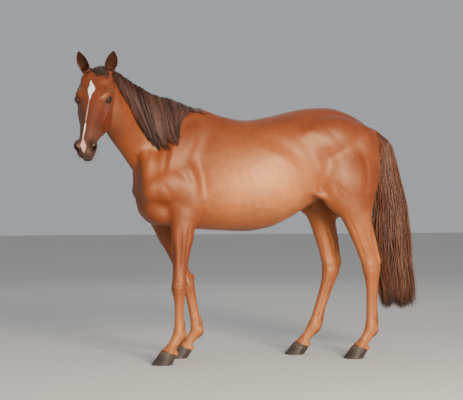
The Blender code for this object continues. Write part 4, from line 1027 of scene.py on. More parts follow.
def leg_details(clay):
    for name, leg in LEGS.items():
        fore = name.startswith("fore")

        def at(t, f=0.0, o=0.0):
            return leg_at(leg, t, f, o)

        for o in (-1, 1):
            # groove between the bone and the tendons behind it, and between the two tendons
            g = 0.022 if fore else 0.025
            press(clay, [at(1.13, -0.010, o * g * 1.35), at(1.4, -0.011, o * g * 1.1), at(1.7, -0.011, o * g * 1.1), at(1.90, -0.014, o * g * 1.3)], 0.016, 0.0048, 0.12, 24)
            press(clay, [at(1.15, -0.028, o * 0.016), at(1.5, -0.027, o * 0.013), at(1.85, -0.030, o * 0.016)], 0.009, 0.0022, 0.15, 24)
            # pastern
            press(clay, [at(2.10, -0.004, o * 0.033), at(2.45, -0.004, o * 0.031), at(2.75, -0.006, o * 0.035)], 0.018, 0.0030, 0.3, 14)
            press(clay, [at(2.02, 0.020, o * 0.026), at(2.06, 0.0, o * 0.034), at(2.04, -0.022, o * 0.026)], 0.012, 0.0024, 0.2, 12)
        if fore:
            press(clay, [at(0.06, 0.022, 0.056), at(0.30, 0.018, 0.050), at(0.60, 0.012, 0.042), at(0.86, 0.012, 0.040)], 0.022, 0.0055, 0.25, 22)
            press(clay, [at(0.06, -0.030, 0.052), at(0.38, -0.024, 0.048), at(0.70, -0.018, 0.040)], 0.020, 0.0042, 0.25, 22)
            press(clay, [at(0.10, 0.045, 0.040), at(0.40, 0.036, 0.036), at(0.75, 0.028, 0.026), at(0.92, 0.032, 0.018)], 0.018, -0.0030, 0.25, 22)
            press(clay, [at(0.10, 0.015, -0.052), at(0.45, 0.010, -0.046), at(0.80, 0.006, -0.038)], 0.020, 0.0040, 0.25, 22)
            press(clay, [at(0.25, -0.004, -0.050), at(0.50, -0.006, -0.045), at(0.80, -0.008, -0.038), at(0.95, -0.010, -0.040)], 0.011, -0.0024, 0.2, 20)
            # the rows of small bones of the knee, and its folds
            for t, depth in ((0.925, 0.0030), (0.985, 0.0026), (1.050, 0.0028)):
                press(clay, [at(t, 0.006, -0.046), at(t, 0.036, -0.028), at(t + 0.008, 0.048, 0.0), at(t, 0.036, 0.028), at(t, 0.006, 0.046)], 0.012, depth, 0.15, 20)
            for o in (-1, 1):
                dent(clay, at(0.955, 0.020, o * 0.036), (0.014, 0.014, 0.016), -0.0032)
                dent(clay, at(1.020, 0.014, o * 0.038), (0.014, 0.014, 0.014), -0.0026)
                press(clay, [at(0.86, -0.022, o * 0.034), at(0.96, -0.024, o * 0.034), at(1.08, -0.022, o * 0.032)], 0.013, 0.0040, 0.2, 14)
            # the horny patch inside the forearm
            dent(clay, at(0.78, -0.005, -0.040), (0.012, 0.010, 0.022), -0.0035)
        else:
            for o in (-1, 1):
                press(clay, [at(0.25, 0.000, o * 0.062), at(0.55, -0.026, o * 0.044), at(0.86, -0.040, o * 0.032)], 0.024, 0.0085, 0.25, 22)
                press(clay, [at(0.93, -0.036, o * 0.030), at(1.00, -0.026, o * 0.036), at(1.10, -0.024, o * 0.032)], 0.014, 0.0040, 0.2, 14)
                dent(clay, at(0.93, 0.008, o * 0.040), (0.016, 0.018, 0.018), -0.0045)
                dent(clay, at(1.05, 0.012, o * 0.036), (0.014, 0.016, 0.018), -0.0030)
            press(clay, [at(0.05, 0.060, 0.055), at(0.35, 0.045, 0.052), at(0.70, 0.032, 0.036), at(0.95, 0.034, 0.022)], 0.022, 0.0048, 0.25, 22)
            press(clay, [at(0.05, 0.020, 0.070), at(0.35, 0.016, 0.060), at(0.70, 0.012, 0.044)], 0.022, 0.0036, 0.25, 22)
            press(clay, [at(0.40, 0.030, -0.050), at(0.75, 0.028, -0.040), at(1.05, 0.024, -0.036), at(1.30, 0.012, -0.030)], 0.010, -0.0026, 0.2, 22)
            press(clay, [at(0.88, 0.050, -0.026), at(0.90, 0.054, 0.0), at(0.88, 0.050, 0.026)], 0.014, 0.0030, 0.2, 14)
            dent(clay, at(1.08, -0.006, -0.036), (0.009, 0.009, 0.020), -0.0030)
        # front tendon, ergot
        press(clay, [at(1.12, 0.036), at(1.5, 0.026), at(1.9, 0.032)], 0.010, -0.0016, 0.2, 24)
        dent(clay, at(2.06, -0.050), (0.012, 0.012, 0.012), -0.003)


def head_details(clay, tree):
    """Bones, folds and veins of the face."""
    for s in (1, -1):
        t = lambda y, z: touch(tree, s, y, z)
        # temple hollow above the eye
        dent(clay, hd(s * 0.058, -0.148, 0.010), (0.030, 0.034, 0.026), 0.0060, HEAD)
        dent(clay, hd(s * 0.083, -0.105, -0.020), (0.030, 0.040, 0.022), 0.0035, HEAD)
        # hollow in front of the eye, and the flat side of the nose above the crest
        press(clay, [t(-0.262, -0.052), t(-0.310, -0.062), t(-0.370, -0.072)], 0.030, 0.0040, 0.3)
        press(clay, [t(-0.250, -0.078), t(-0.285, -0.088), t(-0.345, -0.103), t(-0.395, -0.113)], 0.014, -0.0042, 0.2, 20)
        press(clay, [t(-0.270, -0.106), t(-0.335, -0.122), t(-0.400, -0.132)], 0.024, 0.0032, 0.3)
        # branches of the face vein
        press(clay, [t(-0.245, -0.072), t(-0.290, -0.110), t(-0.310, -0.150), t(-0.300, -0.200), t(-0.285, -0.240)], 0.009, -0.0013, 0.12, 22)
        press(clay, [t(-0.300, -0.128), t(-0.370, -0.098), t(-0.440, -0.080), t(-0.490, -0.078)], 0.008, -0.0012, 0.15, 22)
        press(clay, [t(-0.275, -0.080), t(-0.330, -0.050), t(-0.380, -0.040)], 0.007, -0.0012, 0.15, 18)
        # edge of the cheek muscle, jaw groove
        press(clay, [t(-0.255, -0.130), t(-0.268, -0.180), t(-0.245, -0.235)], 0.030, 0.0028, 0.3)
        press(clay, [t(-0.055, -0.120), t(-0.045, -0.180), t(-0.080, -0.250)], 0.030, 0.0028, 0.3)
        # bar of bone from the eye to the ear
        press(clay, [t(-0.185, -0.052), t(-0.130, -0.056), t(-0.070, -0.060)], 0.020, -0.0030, 0.3)
        press(clay, [t(-0.180, -0.082), t(-0.120, -0.086), t(-0.070, -0.090)], 0.018, 0.0022, 0.3)
        # false nostril groove and the muscle behind the nostril
        press(clay, [t(-0.470, -0.082), t(-0.510, -0.082), t(-0.545, -0.078)], 0.016, 0.0040, 0.3)
        press(clay, [t(-0.440, -0.112), t(-0.500, -0.118), t(-0.545, -0.128)], 0.016, -0.0025, 0.3)
        # wrinkles in front of the eye
        for k, (dy, dz, depth) in enumerate(((0.000, 0.016, 0.0014), (-0.004, 0.024, 0.0014), (-0.010, 0.031, 0.0010))):
            press(clay, [t(-0.200 + dy * 0.5, -0.020 + dz * 0.55), t(-0.235 + dy, -0.026 + dz * 0.6), t(-0.262 + dy, -0.040 + dz * 0.5)], 0.006, depth, 0.25, 16)
        # mouth
        mouth = [touch_front(tree, 0.0, -0.1535), touch_front(tree, s * 0.018, -0.1530), t(-0.590, -0.1525), t(-0.560, -0.1510), t(-0.525, -0.1490), t(-0.500, -0.1470)]
        press(clay, mouth, 0.0085, 0.0062, 0.0, 30)
        press(clay, [t(-0.505, -0.147), t(-0.490, -0.146), t(-0.480, -0.150)], 0.008, 0.0030, 0.3)
        for dy, dz in ((0.010, -0.010), (0.016, 0.008)):
            press(clay, [t(-0.500 + dy, -0.147 + dz), t(-0.485 + dy, -0.150 + dz * 1.5)], 0.006, 0.0012, 0.3, 8)
        # upper lip's edge, chin groove
        press(clay, [touch_front(tree, s * 0.004, -0.139), t(-0.588, -0.139), t(-0.550, -0.138)], 0.009, -0.0022, 0.1, 20)
        press(clay, [touch_front(tree, s * 0.004, -0.166), t(-0.580, -0.166), t(-0.540, -0.163)], 0.009, -0.0022, 0.1, 20)
        press(clay, [t(-0.530, -0.178), t(-0.515, -0.188), hd(0, -0.515, -0.197)], 0.014, 0.0040, 0.2)
        # raised rim round the nostril
        rim = []
        for k in range(17):
            a = 2 * math.pi * k / 16
            y = -0.566 - 0.000 + 0.030 * math.sin(a) * 0.62 - 0.008 * math.cos(a)
            z = -0.099 + 0.030 * math.sin(a) * 0.78
            x = s * (0.047 + 0.017 * math.cos(a))
            found = tree.find_nearest(hd(x, y, z))[0]
            rim.append(found)
        press(clay, rim, 0.010, -0.0026, 0.0, 40)
    # groove down the middle of the muzzle and under the jaw
    press(clay, [touch_front(tree, 0, -0.128), touch_front(tree, 0, -0.140), touch_front(tree, 0, -0.150)], 0.010, 0.0016, 0.2, 12)
    press(clay, [hd(0, -0.460, -0.190), hd(0, -0.340, -0.226), hd(0, -0.230, -0.270), hd(0, -0.120, -0.285)], 0.045, 0.016, 0.25, 20)


def made_skin():
    skin = fused_skin()
    clay = Clay(skin)
    body_details(clay, skin_tree(skin))
    leg_details(clay)
    depth = COAT * (1 - 0.5 * near_ball(clay.co, hd(0, -0.3, -0.1), 0.42, 0.3))
    clay.co -= clay.no * depth[:, None]
    clay.done()
    refined(skin, [(hd(0, -0.30, -0.085), 0.385)])
    places = [(eye_frame(s)[0], 0.052) for s in (1, -1)]
    places += [(hd(s * 0.050, -0.570, -0.100), 0.050) for s in (1, -1)]
    places += [(hd(0, -0.585, -0.150), 0.060)] + [(hd(s * 0.040, -0.530, -0.150), 0.036) for s in (1, -1)]
    refined(skin, places)
    tree = skin_tree(skin)
    clay = Clay(skin)
    head_details(clay, tree)
    for s in (1, -1):
        eyelids(clay, s)
    clay.done()
    bm = bmesh.new()
    for s in (1, -1):
        ear_shell(bm, s)
    solve(skin, to_object(bm, "ears"), "UNION")
    co = coords(skin)
    soft = np.zeros(len(co))
    for s in (1, -1):
        soft = np.maximum(soft, near_ball(co, hd(s * EAR_ROOT.x, EAR_ROOT.y, EAR_ROOT.z - 0.004), 0.045, 0.4))
    weighted_smooth(skin, soft, 5)
    bm = bmesh.new()
    for s in (1, -1):
        nostril_form(bm, s)
    solve(skin, to_object(bm, "nostrils"), "DIFFERENCE")
    sockets, openings = eye_cutters()
    solve(skin, sockets, "DIFFERENCE")
    solve(skin, openings, "DIFFERENCE")
    co = coords(skin)
    soft = np.zeros(len(co))
    for s in (1, -1):
        soft = np.maximum(soft, 0.8 * near_ball(co, hd(s * 0.047, -0.572, -0.098), 0.040, 0.4))
        d = np.linalg.norm(co - np.array(eye_frame(s)[0]), axis=1)
        soft = np.maximum(soft, ((d > EYE_RADIUS + 0.0012) & (d < EYE_RADIUS + 0.012)) * 0.7)
    weighted_smooth(skin, soft, 2)
    return skin


# ---------------------------------------------------------------- colours and markings

CHESTNUT = np.array((0.185, 0.029, 0.0045))
DEEP = np.array((0.080, 0.0105, 0.0030))
GOLD = np.array((0.345, 0.080, 0.0120))
MUZZLE = np.array((0.040, 0.021, 0.018))
WHITE = np.array((0.95, 0.93, 0.90))
PINK = np.array((0.62, 0.36, 0.31))
GREY = np.array((0.105, 0.044, 0.033))

# white markings of the face: drop below the poll, middle across the face, half width
FACE_MARK = (
    (0.060, -0.0190, 0.0000), (0.070, -0.0190, 0.0020), (0.082, -0.0165, 0.0070), (0.100, -0.0100, 0.0140),
    (0.114, -0.0075, 0.0215), (0.126, -0.0075, 0.0220), (0.139, -0.0085, 0.0170), (0.152, -0.0100, 0.0105), (0.178, -0.0075, 0.0032),
    (0.195, -0.0100, 0.0013), (0.257, -0.0105, 0.0024), (0.303, -0.0120, 0.0020), (0.318, -0.0120, 0.0010),
    (0.329, -0.0115, 0.0036), (0.345, -0.0120, 0.0052), (0.370, -0.0130, 0.0036), (0.402, -0.0155, 0.0024),
    (0.412, -0.0150, 0.0032), (0.430, -0.0120, 0.0090), (0.450, -0.0090, 0.0150), (0.470, -0.0070, 0.0115),
    (0.495, -0.0050, 0.0000), (0.520, -0.0050, 0.0000),
)


def lerp(a, b, t):
    return a + (b - a) * t[:, None]


def coat_colour(co, no=None):
    """Colour of skin and coat at points in the world, and how bare the skin is there."""
    p = local_of(co)
    x, y, z = p.T
    side = np.abs(x)
    head = (1 - step(y, -0.06, 0.07)) * (1 - step(np.abs(x), 0.11, 0.17)) * (z < 0.26) * step(z, -0.42, -0.26)
    drop = POLL.z - co[:, 2]
    slow = value_noise(co, 3.1, 1) * 0.6 + value_noise(co, 7.3, 2) * 0.4
    fine = value_noise(co, 34.0, 3)
    tiny = value_noise(co, 160.0, 4)
    c = np.tile(CHESTNUT, (len(co), 1))
    c = lerp(c, GOLD, np.clip(0.16 + 0.30 * slow, 0, 1))
    c = lerp(c, DEEP, np.clip(0.10 - 0.32 * slow, 0, 1))
    # painted shade: darker over the back and the croup, where the low light reaches less. More golden on the flank and
    # the belly, partly the coat's own paler tone and partly a painted highlight, and more golden on the lower neck
    body = 1 - head
    back = step(co[:, 2], 1.30, 1.52) * body * (co[:, 1] > -0.45)
    c = lerp(c, DEEP, 0.22 * back)
    # painted highlight over a paler coat: the lower barrel lightened where the light shines on it
    flank = np.exp(-(((co[:, 1] + 0.02) / 0.34) ** 4) - (((co[:, 2] - 1.05) / 0.19) ** 2)) * body
    c = lerp(c, np.array((0.60, 0.208, 0.064)), 0.86 * flank)
    throat = np.exp(-(((co[:, 1] + 0.70) / 0.20) ** 2) - (((co[:, 2] - 1.22) / 0.20) ** 2)) * body
    c = lerp(c, GOLD, 0.40 * throat)
    # lower legs lighter: partly the coat's own paler tone, partly painted sunlight
    low = (1 - step(co[:, 2], 0.10, 0.62)) * body
    c = lerp(c, np.array((0.50, 0.168, 0.052)), 0.80 * low)
    # painted light: the gaskins lightened as the low sun lights them
    painted_light_gaskin = step(co[:, 2], 0.35, 0.62) * (1 - step(co[:, 2], 0.76, 1.00)) * step(co[:, 1], 0.10, 0.30)
    c = lerp(c, np.array((0.48, 0.150, 0.042)), 0.60 * painted_light_gaskin)
    joint = np.zeros(len(co))
    for leg in LEGS.values():
        for k, size in ((1, 0.060), (2, 0.045)):
            joint = np.maximum(joint, near_ball(co, leg[0][k], size * 1.4, 1.0))
    c = lerp(c, DEEP, 0.30 * joint)
    # painted shade between the hind legs and under the belly there, towards a grey skin tone
    inner = near_ball(co, (0, 0.56, 0.98), 0.17, 1.0)
    c = lerp(c, GREY * 1.2, 0.45 * inner)
    # face: darker down the front, grey round the eye and on the cheek before it
    front = head * step(drop, 0.14, 0.32) * (1 - step(side, 0.050, 0.085))
    c = lerp(c, DEEP * 1.1, 0.80 * front)
    # painted shade: the whole head darkened by a fifth
    c = c * (1 - 0.20 * head)[:, None]
    lower = head * step(drop + 0.10 * value_noise(co, 14, 9), 0.30, 0.47) * step(-y, 0.24, 0.36)
    c = lerp(c, GREY, 0.60 * lower)
    for s in (1, -1):
        d = np.linalg.norm((p - np.array((s * 0.088, -0.255, -0.066))) / np.array((0.05, 0.060, 0.045)), axis=1)
        c = lerp(c, GREY, 0.62 * head * (1 - step(d, 0.30, 1.25)))
        e = np.linalg.norm((p - np.array((s * EYE.x, EYE.y, EYE.z))) / EYE_RADIUS, axis=1)
        c = lerp(c, MUZZLE * 0.42, 0.95 * (1 - step(e, 1.14, 1.50)))
        d = np.linalg.norm((p - np.array((s * 0.052, -0.580, -0.100))) / np.array((0.040, 0.052, 0.046)), axis=1)
        c = lerp(c, MUZZLE, 0.85 * (1 - step(d, 0.45, 1.15)))
    muzzle = head * step(-y + 0.02 * fine, 0.515, 0.600)
    c = lerp(c, MUZZLE, 0.80 * muzzle)
    lip = head * step(-y, 0.50, 0.56) * (1 - step(z, -0.165, -0.125))
    c = lerp(c, MUZZLE * 1.1, 0.75 * lip)
    # ears: dark tips and hollows
    cups = np.zeros(len(co))
    for s in (1, -1):
        root = np.array((s * EAR_ROOT.x, EAR_ROOT.y, EAR_ROOT.z))
        axis = np.array(Vector((s * EAR_AXIS.x + EAR_SWING, EAR_AXIS.y, EAR_AXIS.z)).normalized())
        t = (p - root) @ axis / EAR_LENGTH
        around = np.linalg.norm(p - root - np.outer(t * EAR_LENGTH, axis), axis=1)
        here = step(t, -0.05, 0.16) * (around < 0.06) * (side > 0.02)
        c = lerp(c, DEEP * 0.85, here * (0.70 + 0.25 * step(t, 0.70, 1.0)))
        if no is not None:
            inward = local_of(co + no) - p
            face = np.array((s * 0.30, -0.85, 0.40))
            hollow = step(t, -0.03, 0.06) * (around < 0.044) * (side > 0.02) * step(inward @ face, -0.05, 0.40) * (1 - step(around, 0.028, 0.044) * 0.5)
            c = lerp(c, np.array((0.030, 0.0065, 0.0025)), 0.88 * hollow)
            cups = np.maximum(cups, hollow)
    # darker hair at the root of the tail
    c = lerp(c, DEEP, 0.70 * near_ball(co, (0, 0.815, 1.350), 0.095, 0.8))
    # painted shade on the thigh: the coat there is darkened, and its shine lowered through the bare value
    thigh = near_ball(co, (0.26, 0.555, 1.205), 0.125, 1.0)
    c = lerp(c, CHESTNUT * 0.80, 0.75 * thigh)
    # small changes from hair to hair
    c = c * (1 + 0.10 * fine + 0.10 * tiny)[:, None]
    # white markings
    rows = np.array(FACE_MARK)
    middle = hermite(rows[:, 0], rows[:, 1], drop)
    half = hermite(rows[:, 0], rows[:, 2], drop) * (1 - 0.17 * (1 - step(drop, 0.33, 0.40)))
    ragged = 1 + 0.16 * value_noise(co, 210, 5) + 0.12 * value_noise(co, 90, 6)
    edge = (half * ragged - np.abs(x - middle)) / 0.0024
    faces_out = (z > -0.02 - 0.22 * np.clip(drop, 0, 1)) | (y < -0.55)
    white = np.clip(edge + 0.5, 0, 1) * head * faces_out * (drop > 0.066) * (drop < 0.500) * (half > 0.0004)
    thin = step(drop, 0.170, 0.200) * (1 - step(drop, 0.315, 0.330))
    white = white * (1 - 0.35 * thin)
    pink = np.clip(step(drop, 0.398, 0.420) + 0.30 * thin, 0, 1)
    c = c * (1 - white[:, None]) + (WHITE * (1 - pink)[:, None] + PINK * pink[:, None]) * white[:, None]
    # pale edge of the lower lip
    pale = head * np.exp(-(((z + 0.160) / 0.0045) ** 2)) * step(-y, 0.560, 0.590) * (side < 0.040)
    c = lerp(c, np.array((0.34, 0.25, 0.21)), 0.55 * pale)
    bare = np.clip(muzzle * 0.6 + lip * 0.4 + cups + 0.80 * thigh, 0, 1)
    return np.clip(c, 0.004, 0.95), bare


def put_colour(obj, c, name="Col", per="POINT"):
    layer = obj.data.color_attributes.new(name, "FLOAT_COLOR", per)
    full = np.ones((len(c), 4), np.float32)
    full[:, :3] = c
    layer.data.foreach_set("color", full.ravel())


def put_value(obj, v, name):
    layer = obj.data.attributes.new(name, "FLOAT", "POINT")
    layer.data.foreach_set("value", np.asarray(v, np.float32))


# ---------------------------------------------------------------- materials


class Nodes:
    """Short names for building a node tree."""

    def __init__(self, name):
        self.material = bpy.data.materials.new(name)
        self.material.use_nodes = True
        self.tree = self.material.node_tree
        self.shader = self.tree.nodes["Principled BSDF"]

    def new(self, kind, **values):
        node = self.tree.nodes.new(kind)
        for key, value in values.items():
            if key in node.inputs:
                node.inputs[key].default_value = value
            else:
                setattr(node, key, value)
        return node

    def link(self, a, b):
        self.tree.links.new(a, b)

    def set(self, **values):
        for key, value in values.items():
            self.shader.inputs[key.replace("_", " ")].default_value = value

    def coordinates(self, scale=(1, 1, 1), turn=(0, 0, 0)):
        where = self.new("ShaderNodeTexCoord")
        mapping = self.new("ShaderNodeMapping", Scale=scale, Rotation=turn)
        self.link(where.outputs["Object"], mapping.inputs["Vector"])
        return mapping.outputs["Vector"]

    def noise(self, vector, scale, detail=3.0, rough=0.5, distortion=0.0):
        node = self.new("ShaderNodeTexNoise", Scale=scale, Detail=detail, Roughness=rough, Distortion=distortion)
        self.link(vector, node.inputs["Vector"])
        return node.outputs["Fac"]

    def math(self, operation, a, b=None):
        node = self.tree.nodes.new("ShaderNodeMath")
        node.operation = operation
        for i, v in enumerate((a, b)):
            if v is None:
                continue
            if isinstance(v, (int, float)):
                node.inputs[i].default_value = v
            else:
                self.link(v, node.inputs[i])
        return node.outputs[0]

    def mix(self, a, b, fac, blend="MIX"):
        node = self.tree.nodes.new("ShaderNodeMix")
        node.data_type, node.blend_type = "RGBA", blend
        for key, v in (("Factor", fac),):
            if isinstance(v, (int, float)):
                node.inputs[0].default_value = v
            else:
                self.link(v, node.inputs[0])
        for i, v in ((6, a), (7, b)):
            if isinstance(v, tuple):
                node.inputs[i].default_value = (*v, 1)
            else:
                self.link(v, node.inputs[i])
        return node.outputs[2]

    def ramp(self, fac, *stops):
        node = self.tree.nodes.new("ShaderNodeValToRGB")
        ramp = node.color_ramp
        for i, (place, c) in enumerate(stops):
            e = ramp.elements[i] if i < 2 else ramp.elements.new(place)
            e.position = place
            e.color = (*c, 1) if isinstance(c, tuple) else (c, c, c, 1)
        self.link(fac, node.inputs["Fac"])
        return node.outputs["Color"]

    def attribute(self, name, output="Fac"):
        return self.new("ShaderNodeAttribute", attribute_name=name).outputs[output]

    def bump(self, height, strength, distance, before=None):
        node = self.new("ShaderNodeBump", Strength=strength, Distance=distance)
        self.link(height, node.inputs["Height"])
        if before is not None:
            self.link(before, node.inputs["Normal"])
        return node.outputs["Normal"]


def coat_material():
    """Short glossy coat: hair strokes along the lie of the coat, with satin shine."""
    n = Nodes("coat")
    colour = n.attribute("Col", "Color")
    along_body = n.noise(n.coordinates((60, 14, 34), (0.35, 0, 0)), 6.0, 4, 0.62, 0.6)
    along_leg = n.noise(n.coordinates((60, 60, 12)), 6.0, 4, 0.62, 0.4)
    on_leg = n.attribute("leg")
    stroke = n.math("ADD", n.math("MULTIPLY", along_leg, on_leg), n.math("MULTIPLY", along_body, n.math("SUBTRACT", 1.0, on_leg)))
    cloud = n.noise(n.coordinates((1, 1, 1)), 5.5, 4, 0.55, 0.5)
    shade = n.ramp(stroke, (0.30, 0.74), (0.52, 1.0), (0.75, 1.22))
    c = n.mix(colour, shade, 0.55, "MULTIPLY")
    c = n.mix(c, n.ramp(cloud, (0.3, 0.82), (0.7, 1.14)), 0.55, "MULTIPLY")
    n.link(c, n.shader.inputs["Base Color"])
    rough = n.ramp(cloud, (0.25, 0.47), (0.75, 0.58))
    n.link(rough, n.shader.inputs["Roughness"])
    n.set(Sheen_Weight=0.05, Sheen_Roughness=0.35, Coat_Weight=0.05, Coat_Roughness=0.45)
    shine = n.math("SUBTRACT", 0.95, n.math("MULTIPLY", n.attribute("bare"), 0.70))
    n.link(shine, n.shader.inputs["Specular IOR Level"])
    n.shader.inputs["Specular Tint"].default_value = (1.0, 0.70, 0.44, 1)
    n.shader.inputs["Sheen Tint"].default_value = (1.0, 0.62, 0.42, 1)
    fine = n.noise(n.coordinates((1, 1, 1)), 900, 2, 0.6)
    uneven = n.noise(n.coordinates((1, 1, 1)), 17, 5, 0.6, 0.8)
    normal = n.bump(uneven, 0.35, 0.006)
    normal = n.bump(stroke, 0.40, 0.0016, normal)
    normal = n.bump(fine, 0.12, 0.0004, normal)
    n.link(normal, n.shader.inputs["Normal"])
    return n.material


def hair_material(name, dark, mid, light, warm, rough=0.46, shine=0.45):
    """Long hair: each lock with its own tone, darker at the root and bleached towards the tip."""
    n = Nodes(name)
    lock, along = n.attribute("lock"), n.attribute("along")
    tone = n.ramp(lock, (0.0, dark), (0.45, mid), (0.85, light), (1.0, mid))
    tip = n.ramp(along, (0.0, 0.80), (0.5, 1.0), (1.0, 1.28))
    c = n.mix(tone, tip, 0.9, "MULTIPLY")
    c = n.mix(c, warm, n.math("MULTIPLY", n.attribute("warm"), 0.75))
    stripe = n.noise(n.coordinates((1, 1, 0.12)), 420, 3, 0.6)
    c = n.mix(c, n.ramp(stripe, (0.30, 0.74), (0.70, 1.22)), 0.7, "MULTIPLY")
    n.link(c, n.shader.inputs["Base Color"])
    n.set(Roughness=rough, Specular_IOR_Level=shine, Sheen_Weight=0.10, Sheen_Roughness=0.4)
    n.shader.inputs["Specular Tint"].default_value = (1.0, 0.90, 0.84, 1)
    n.link(n.bump(stripe, 0.25, 0.0006), n.shader.inputs["Normal"])
    return n.material


def tuft_material():
    """Short tufts in the colours of the skin under them."""
    n = Nodes("tufts")
    along = n.attribute("along")
    c = n.mix(n.attribute("Col", "Color"), n.ramp(along, (0.0, 0.86), (1.0, 1.16)), 0.8, "MULTIPLY")
    n.link(c, n.shader.inputs["Base Color"])
    n.set(Roughness=0.44, Specular_IOR_Level=0.5, Sheen_Weight=0.10, Sheen_Roughness=0.4)
    n.shader.inputs["Specular Tint"].default_value = (1.0, 0.86, 0.74, 1)
    return n.material


def eye_material(s):
    """Dark brown iris, a wide pupil and a wet, clear surface."""
    n = Nodes("eye_left" if s > 0 else "eye_right")
    c, along, up, look = eye_frame(s)
    place = Matrix((along, up, look)).to_4x4()
    where = n.new("ShaderNodeTexCoord")
    parts = []
    for axis in (along, up, look):
        dot = n.new("ShaderNodeVectorMath", operation="DOT_PRODUCT")
        shift = n.new("ShaderNodeVectorMath", operation="SUBTRACT")
        n.link(where.outputs["Object"], shift.inputs[0])
        shift.inputs[1].default_value = tuple(Vector(c) + Vector(SHIFT.tolist()))
        n.link(shift.outputs[0], dot.inputs[0])
        dot.inputs[1].default_value = tuple(axis)
        parts.append(dot.outputs["Value"])
    a, u = n.math("DIVIDE", parts[0], EYE_RADIUS), n.math("DIVIDE", parts[1], EYE_RADIUS)
    radial = n.math("SQRT", n.math("ADD", n.math("MULTIPLY", a, a), n.math("MULTIPLY", u, u)))
    a2, u2 = n.math("DIVIDE", a, 0.40), n.math("DIVIDE", u, 0.22)
    pupil = n.math("SQRT", n.math("ADD", n.math("MULTIPLY", a2, a2), n.math("MULTIPLY", u2, u2)))
    fibres = n.noise(n.coordinates((1, 1, 1)), 520, 3, 0.6, 1.0)
    iris = n.ramp(n.math("ADD", radial, n.math("MULTIPLY", fibres, 0.12)), (0.20, (0.016, 0.006, 0.003)), (0.62, (0.034, 0.012, 0.005)),
                  (0.80, (0.012, 0.005, 0.003)), (0.93, (0.028, 0.014, 0.010)))
    c2 = n.mix((0.003, 0.003, 0.004), iris, n.ramp(pupil, (0.88, 0.0), (1.05, 1.0)))
    n.link(c2, n.shader.inputs["Base Color"])
    n.set(Roughness=0.12, Specular_IOR_Level=0.45, Coat_Weight=0.6, Coat_Roughness=0.03, Coat_IOR=1.34)
    return n.material


def hoof_material():
    """Dark horn with growth rings and fine upright fibres."""
    n = Nodes("horn")
    ring = n.attribute("ring")
    fibre = n.noise(n.coordinates((1, 1, 0.06)), 260, 3, 0.6)
    c = n.ramp(ring, (0.0, (0.055, 0.038, 0.030)), (0.35, (0.040, 0.028, 0.023)), (0.75, (0.070, 0.048, 0.036)), (1.0, (0.110, 0.072, 0.052)))
    c = n.mix(c, n.ramp(fibre, (0.3, 0.62), (0.7, 1.30)), 0.8, "MULTIPLY")
    dust = n.noise(n.coordinates((1, 1, 1)), 38, 4, 0.6)
    c = n.mix(c, (0.150, 0.115, 0.085), n.ramp(dust, (0.50, 0.0), (0.80, 0.35)))
    n.link(c, n.shader.inputs["Base Color"])
    n.link(n.ramp(dust, (0.3, 0.42), (0.7, 0.66)), n.shader.inputs["Roughness"])
    n.set(Specular_IOR_Level=0.42)
    n.link(n.bump(fibre, 0.30, 0.0006), n.shader.inputs["Normal"])
    return n.material


# ---------------------------------------------------------------- hair as solid strands


def strands(name, path, out, width, thick, root_uv, values=None, facing=None):
    """Closed three-sided strands. path is (strand, point, 3) with the tip last, out points away from the skin."""
    n, k = path.shape[:2]
    along = np.gradient(path, axis=1)
    along /= np.linalg.norm(along, axis=2, keepdims=True) + 1e-12
    side = np.cross(along, out)
    side /= np.linalg.norm(side, axis=2, keepdims=True) + 1e-12
    up = np.cross(side, along)
    rings = k - 1
    p, sd, u = path[:, :rings], side[:, :rings], up[:, :rings]
    w, t = width[:, :rings, None], thick[:, :rings, None]
    corners = np.stack([p + sd * w - u * t * 0.5, p - sd * w - u * t * 0.5, p + u * t], axis=2)
    verts = np.concatenate([corners.reshape(n, rings * 3, 3), path[:, -1:]], axis=1)
    per = rings * 3 + 1
    faces = [(0, 1, 2)]
    for r in range(rings - 1):
        for i in range(3):
            a, b = r * 3 + i, r * 3 + (i + 1) % 3
            faces += [(b, a, a + 3), (b, a + 3, b + 3)]
    last = (rings - 1) * 3
    for i in range(3):
        faces.append((last + (i + 1) % 3, last + i, per - 1))
    faces = np.array(faces)
    flip = np.concatenate([faces[:, ::-1]])
    every = (flip[None] + np.arange(n)[:, None, None] * per).reshape(-1, 3)
    mesh = bpy.data.meshes.new(name)
    mesh.vertices.add(n * per)
    mesh.vertices.foreach_set("co", verts.astype(np.float32).ravel())
    mesh.loops.add(len(every) * 3)
    mesh.loops.foreach_set("vertex_index", every.astype(np.int32).ravel())
    mesh.polygons.add(len(every))
    mesh.polygons.foreach_set("loop_start", np.arange(0, len(every) * 3, 3, dtype=np.int32))
    mesh.polygons.foreach_set("use_smooth", np.ones(len(every), bool))
    mesh.update(calc_edges=True)
    # a patch about 3 mm across for each strand, at its root's place on the unwrapped skin
    down = np.concatenate([np.repeat(np.linspace(0, 0.9, rings), 3), [1.0]]) * 0.003
    across = np.concatenate([np.tile([0.0, 0.5, 1.0], rings), [0.5]]) * 0.003
    uv = root_uv[:, None, :] + np.stack([across, down], axis=1)[None]
    layer = mesh.uv_layers.new(name="OFBake")
    layer.data.foreach_set("uv", uv.reshape(-1, 2)[every.ravel()].astype(np.float32).ravel())
    obj = bpy.data.objects.new(name, mesh)
    bpy.context.scene.collection.objects.link(obj)
    if facing is not None:
        # a tuft lying flat takes the light as the coat under it does
        mesh.normals_split_custom_set_from_vertices(np.repeat(facing, per, axis=0).tolist())
    place = np.concatenate([np.repeat(np.arange(rings) / rings, 3), [1.0]])
    put_value(obj, np.tile(place, n), "along")
    for key, v in (values or {}).items():
        if v.ndim == 1:
            put_value(obj, np.repeat(v, per), key)
        else:
            put_colour(obj, np.repeat(v, per, axis=0), key)
    return obj


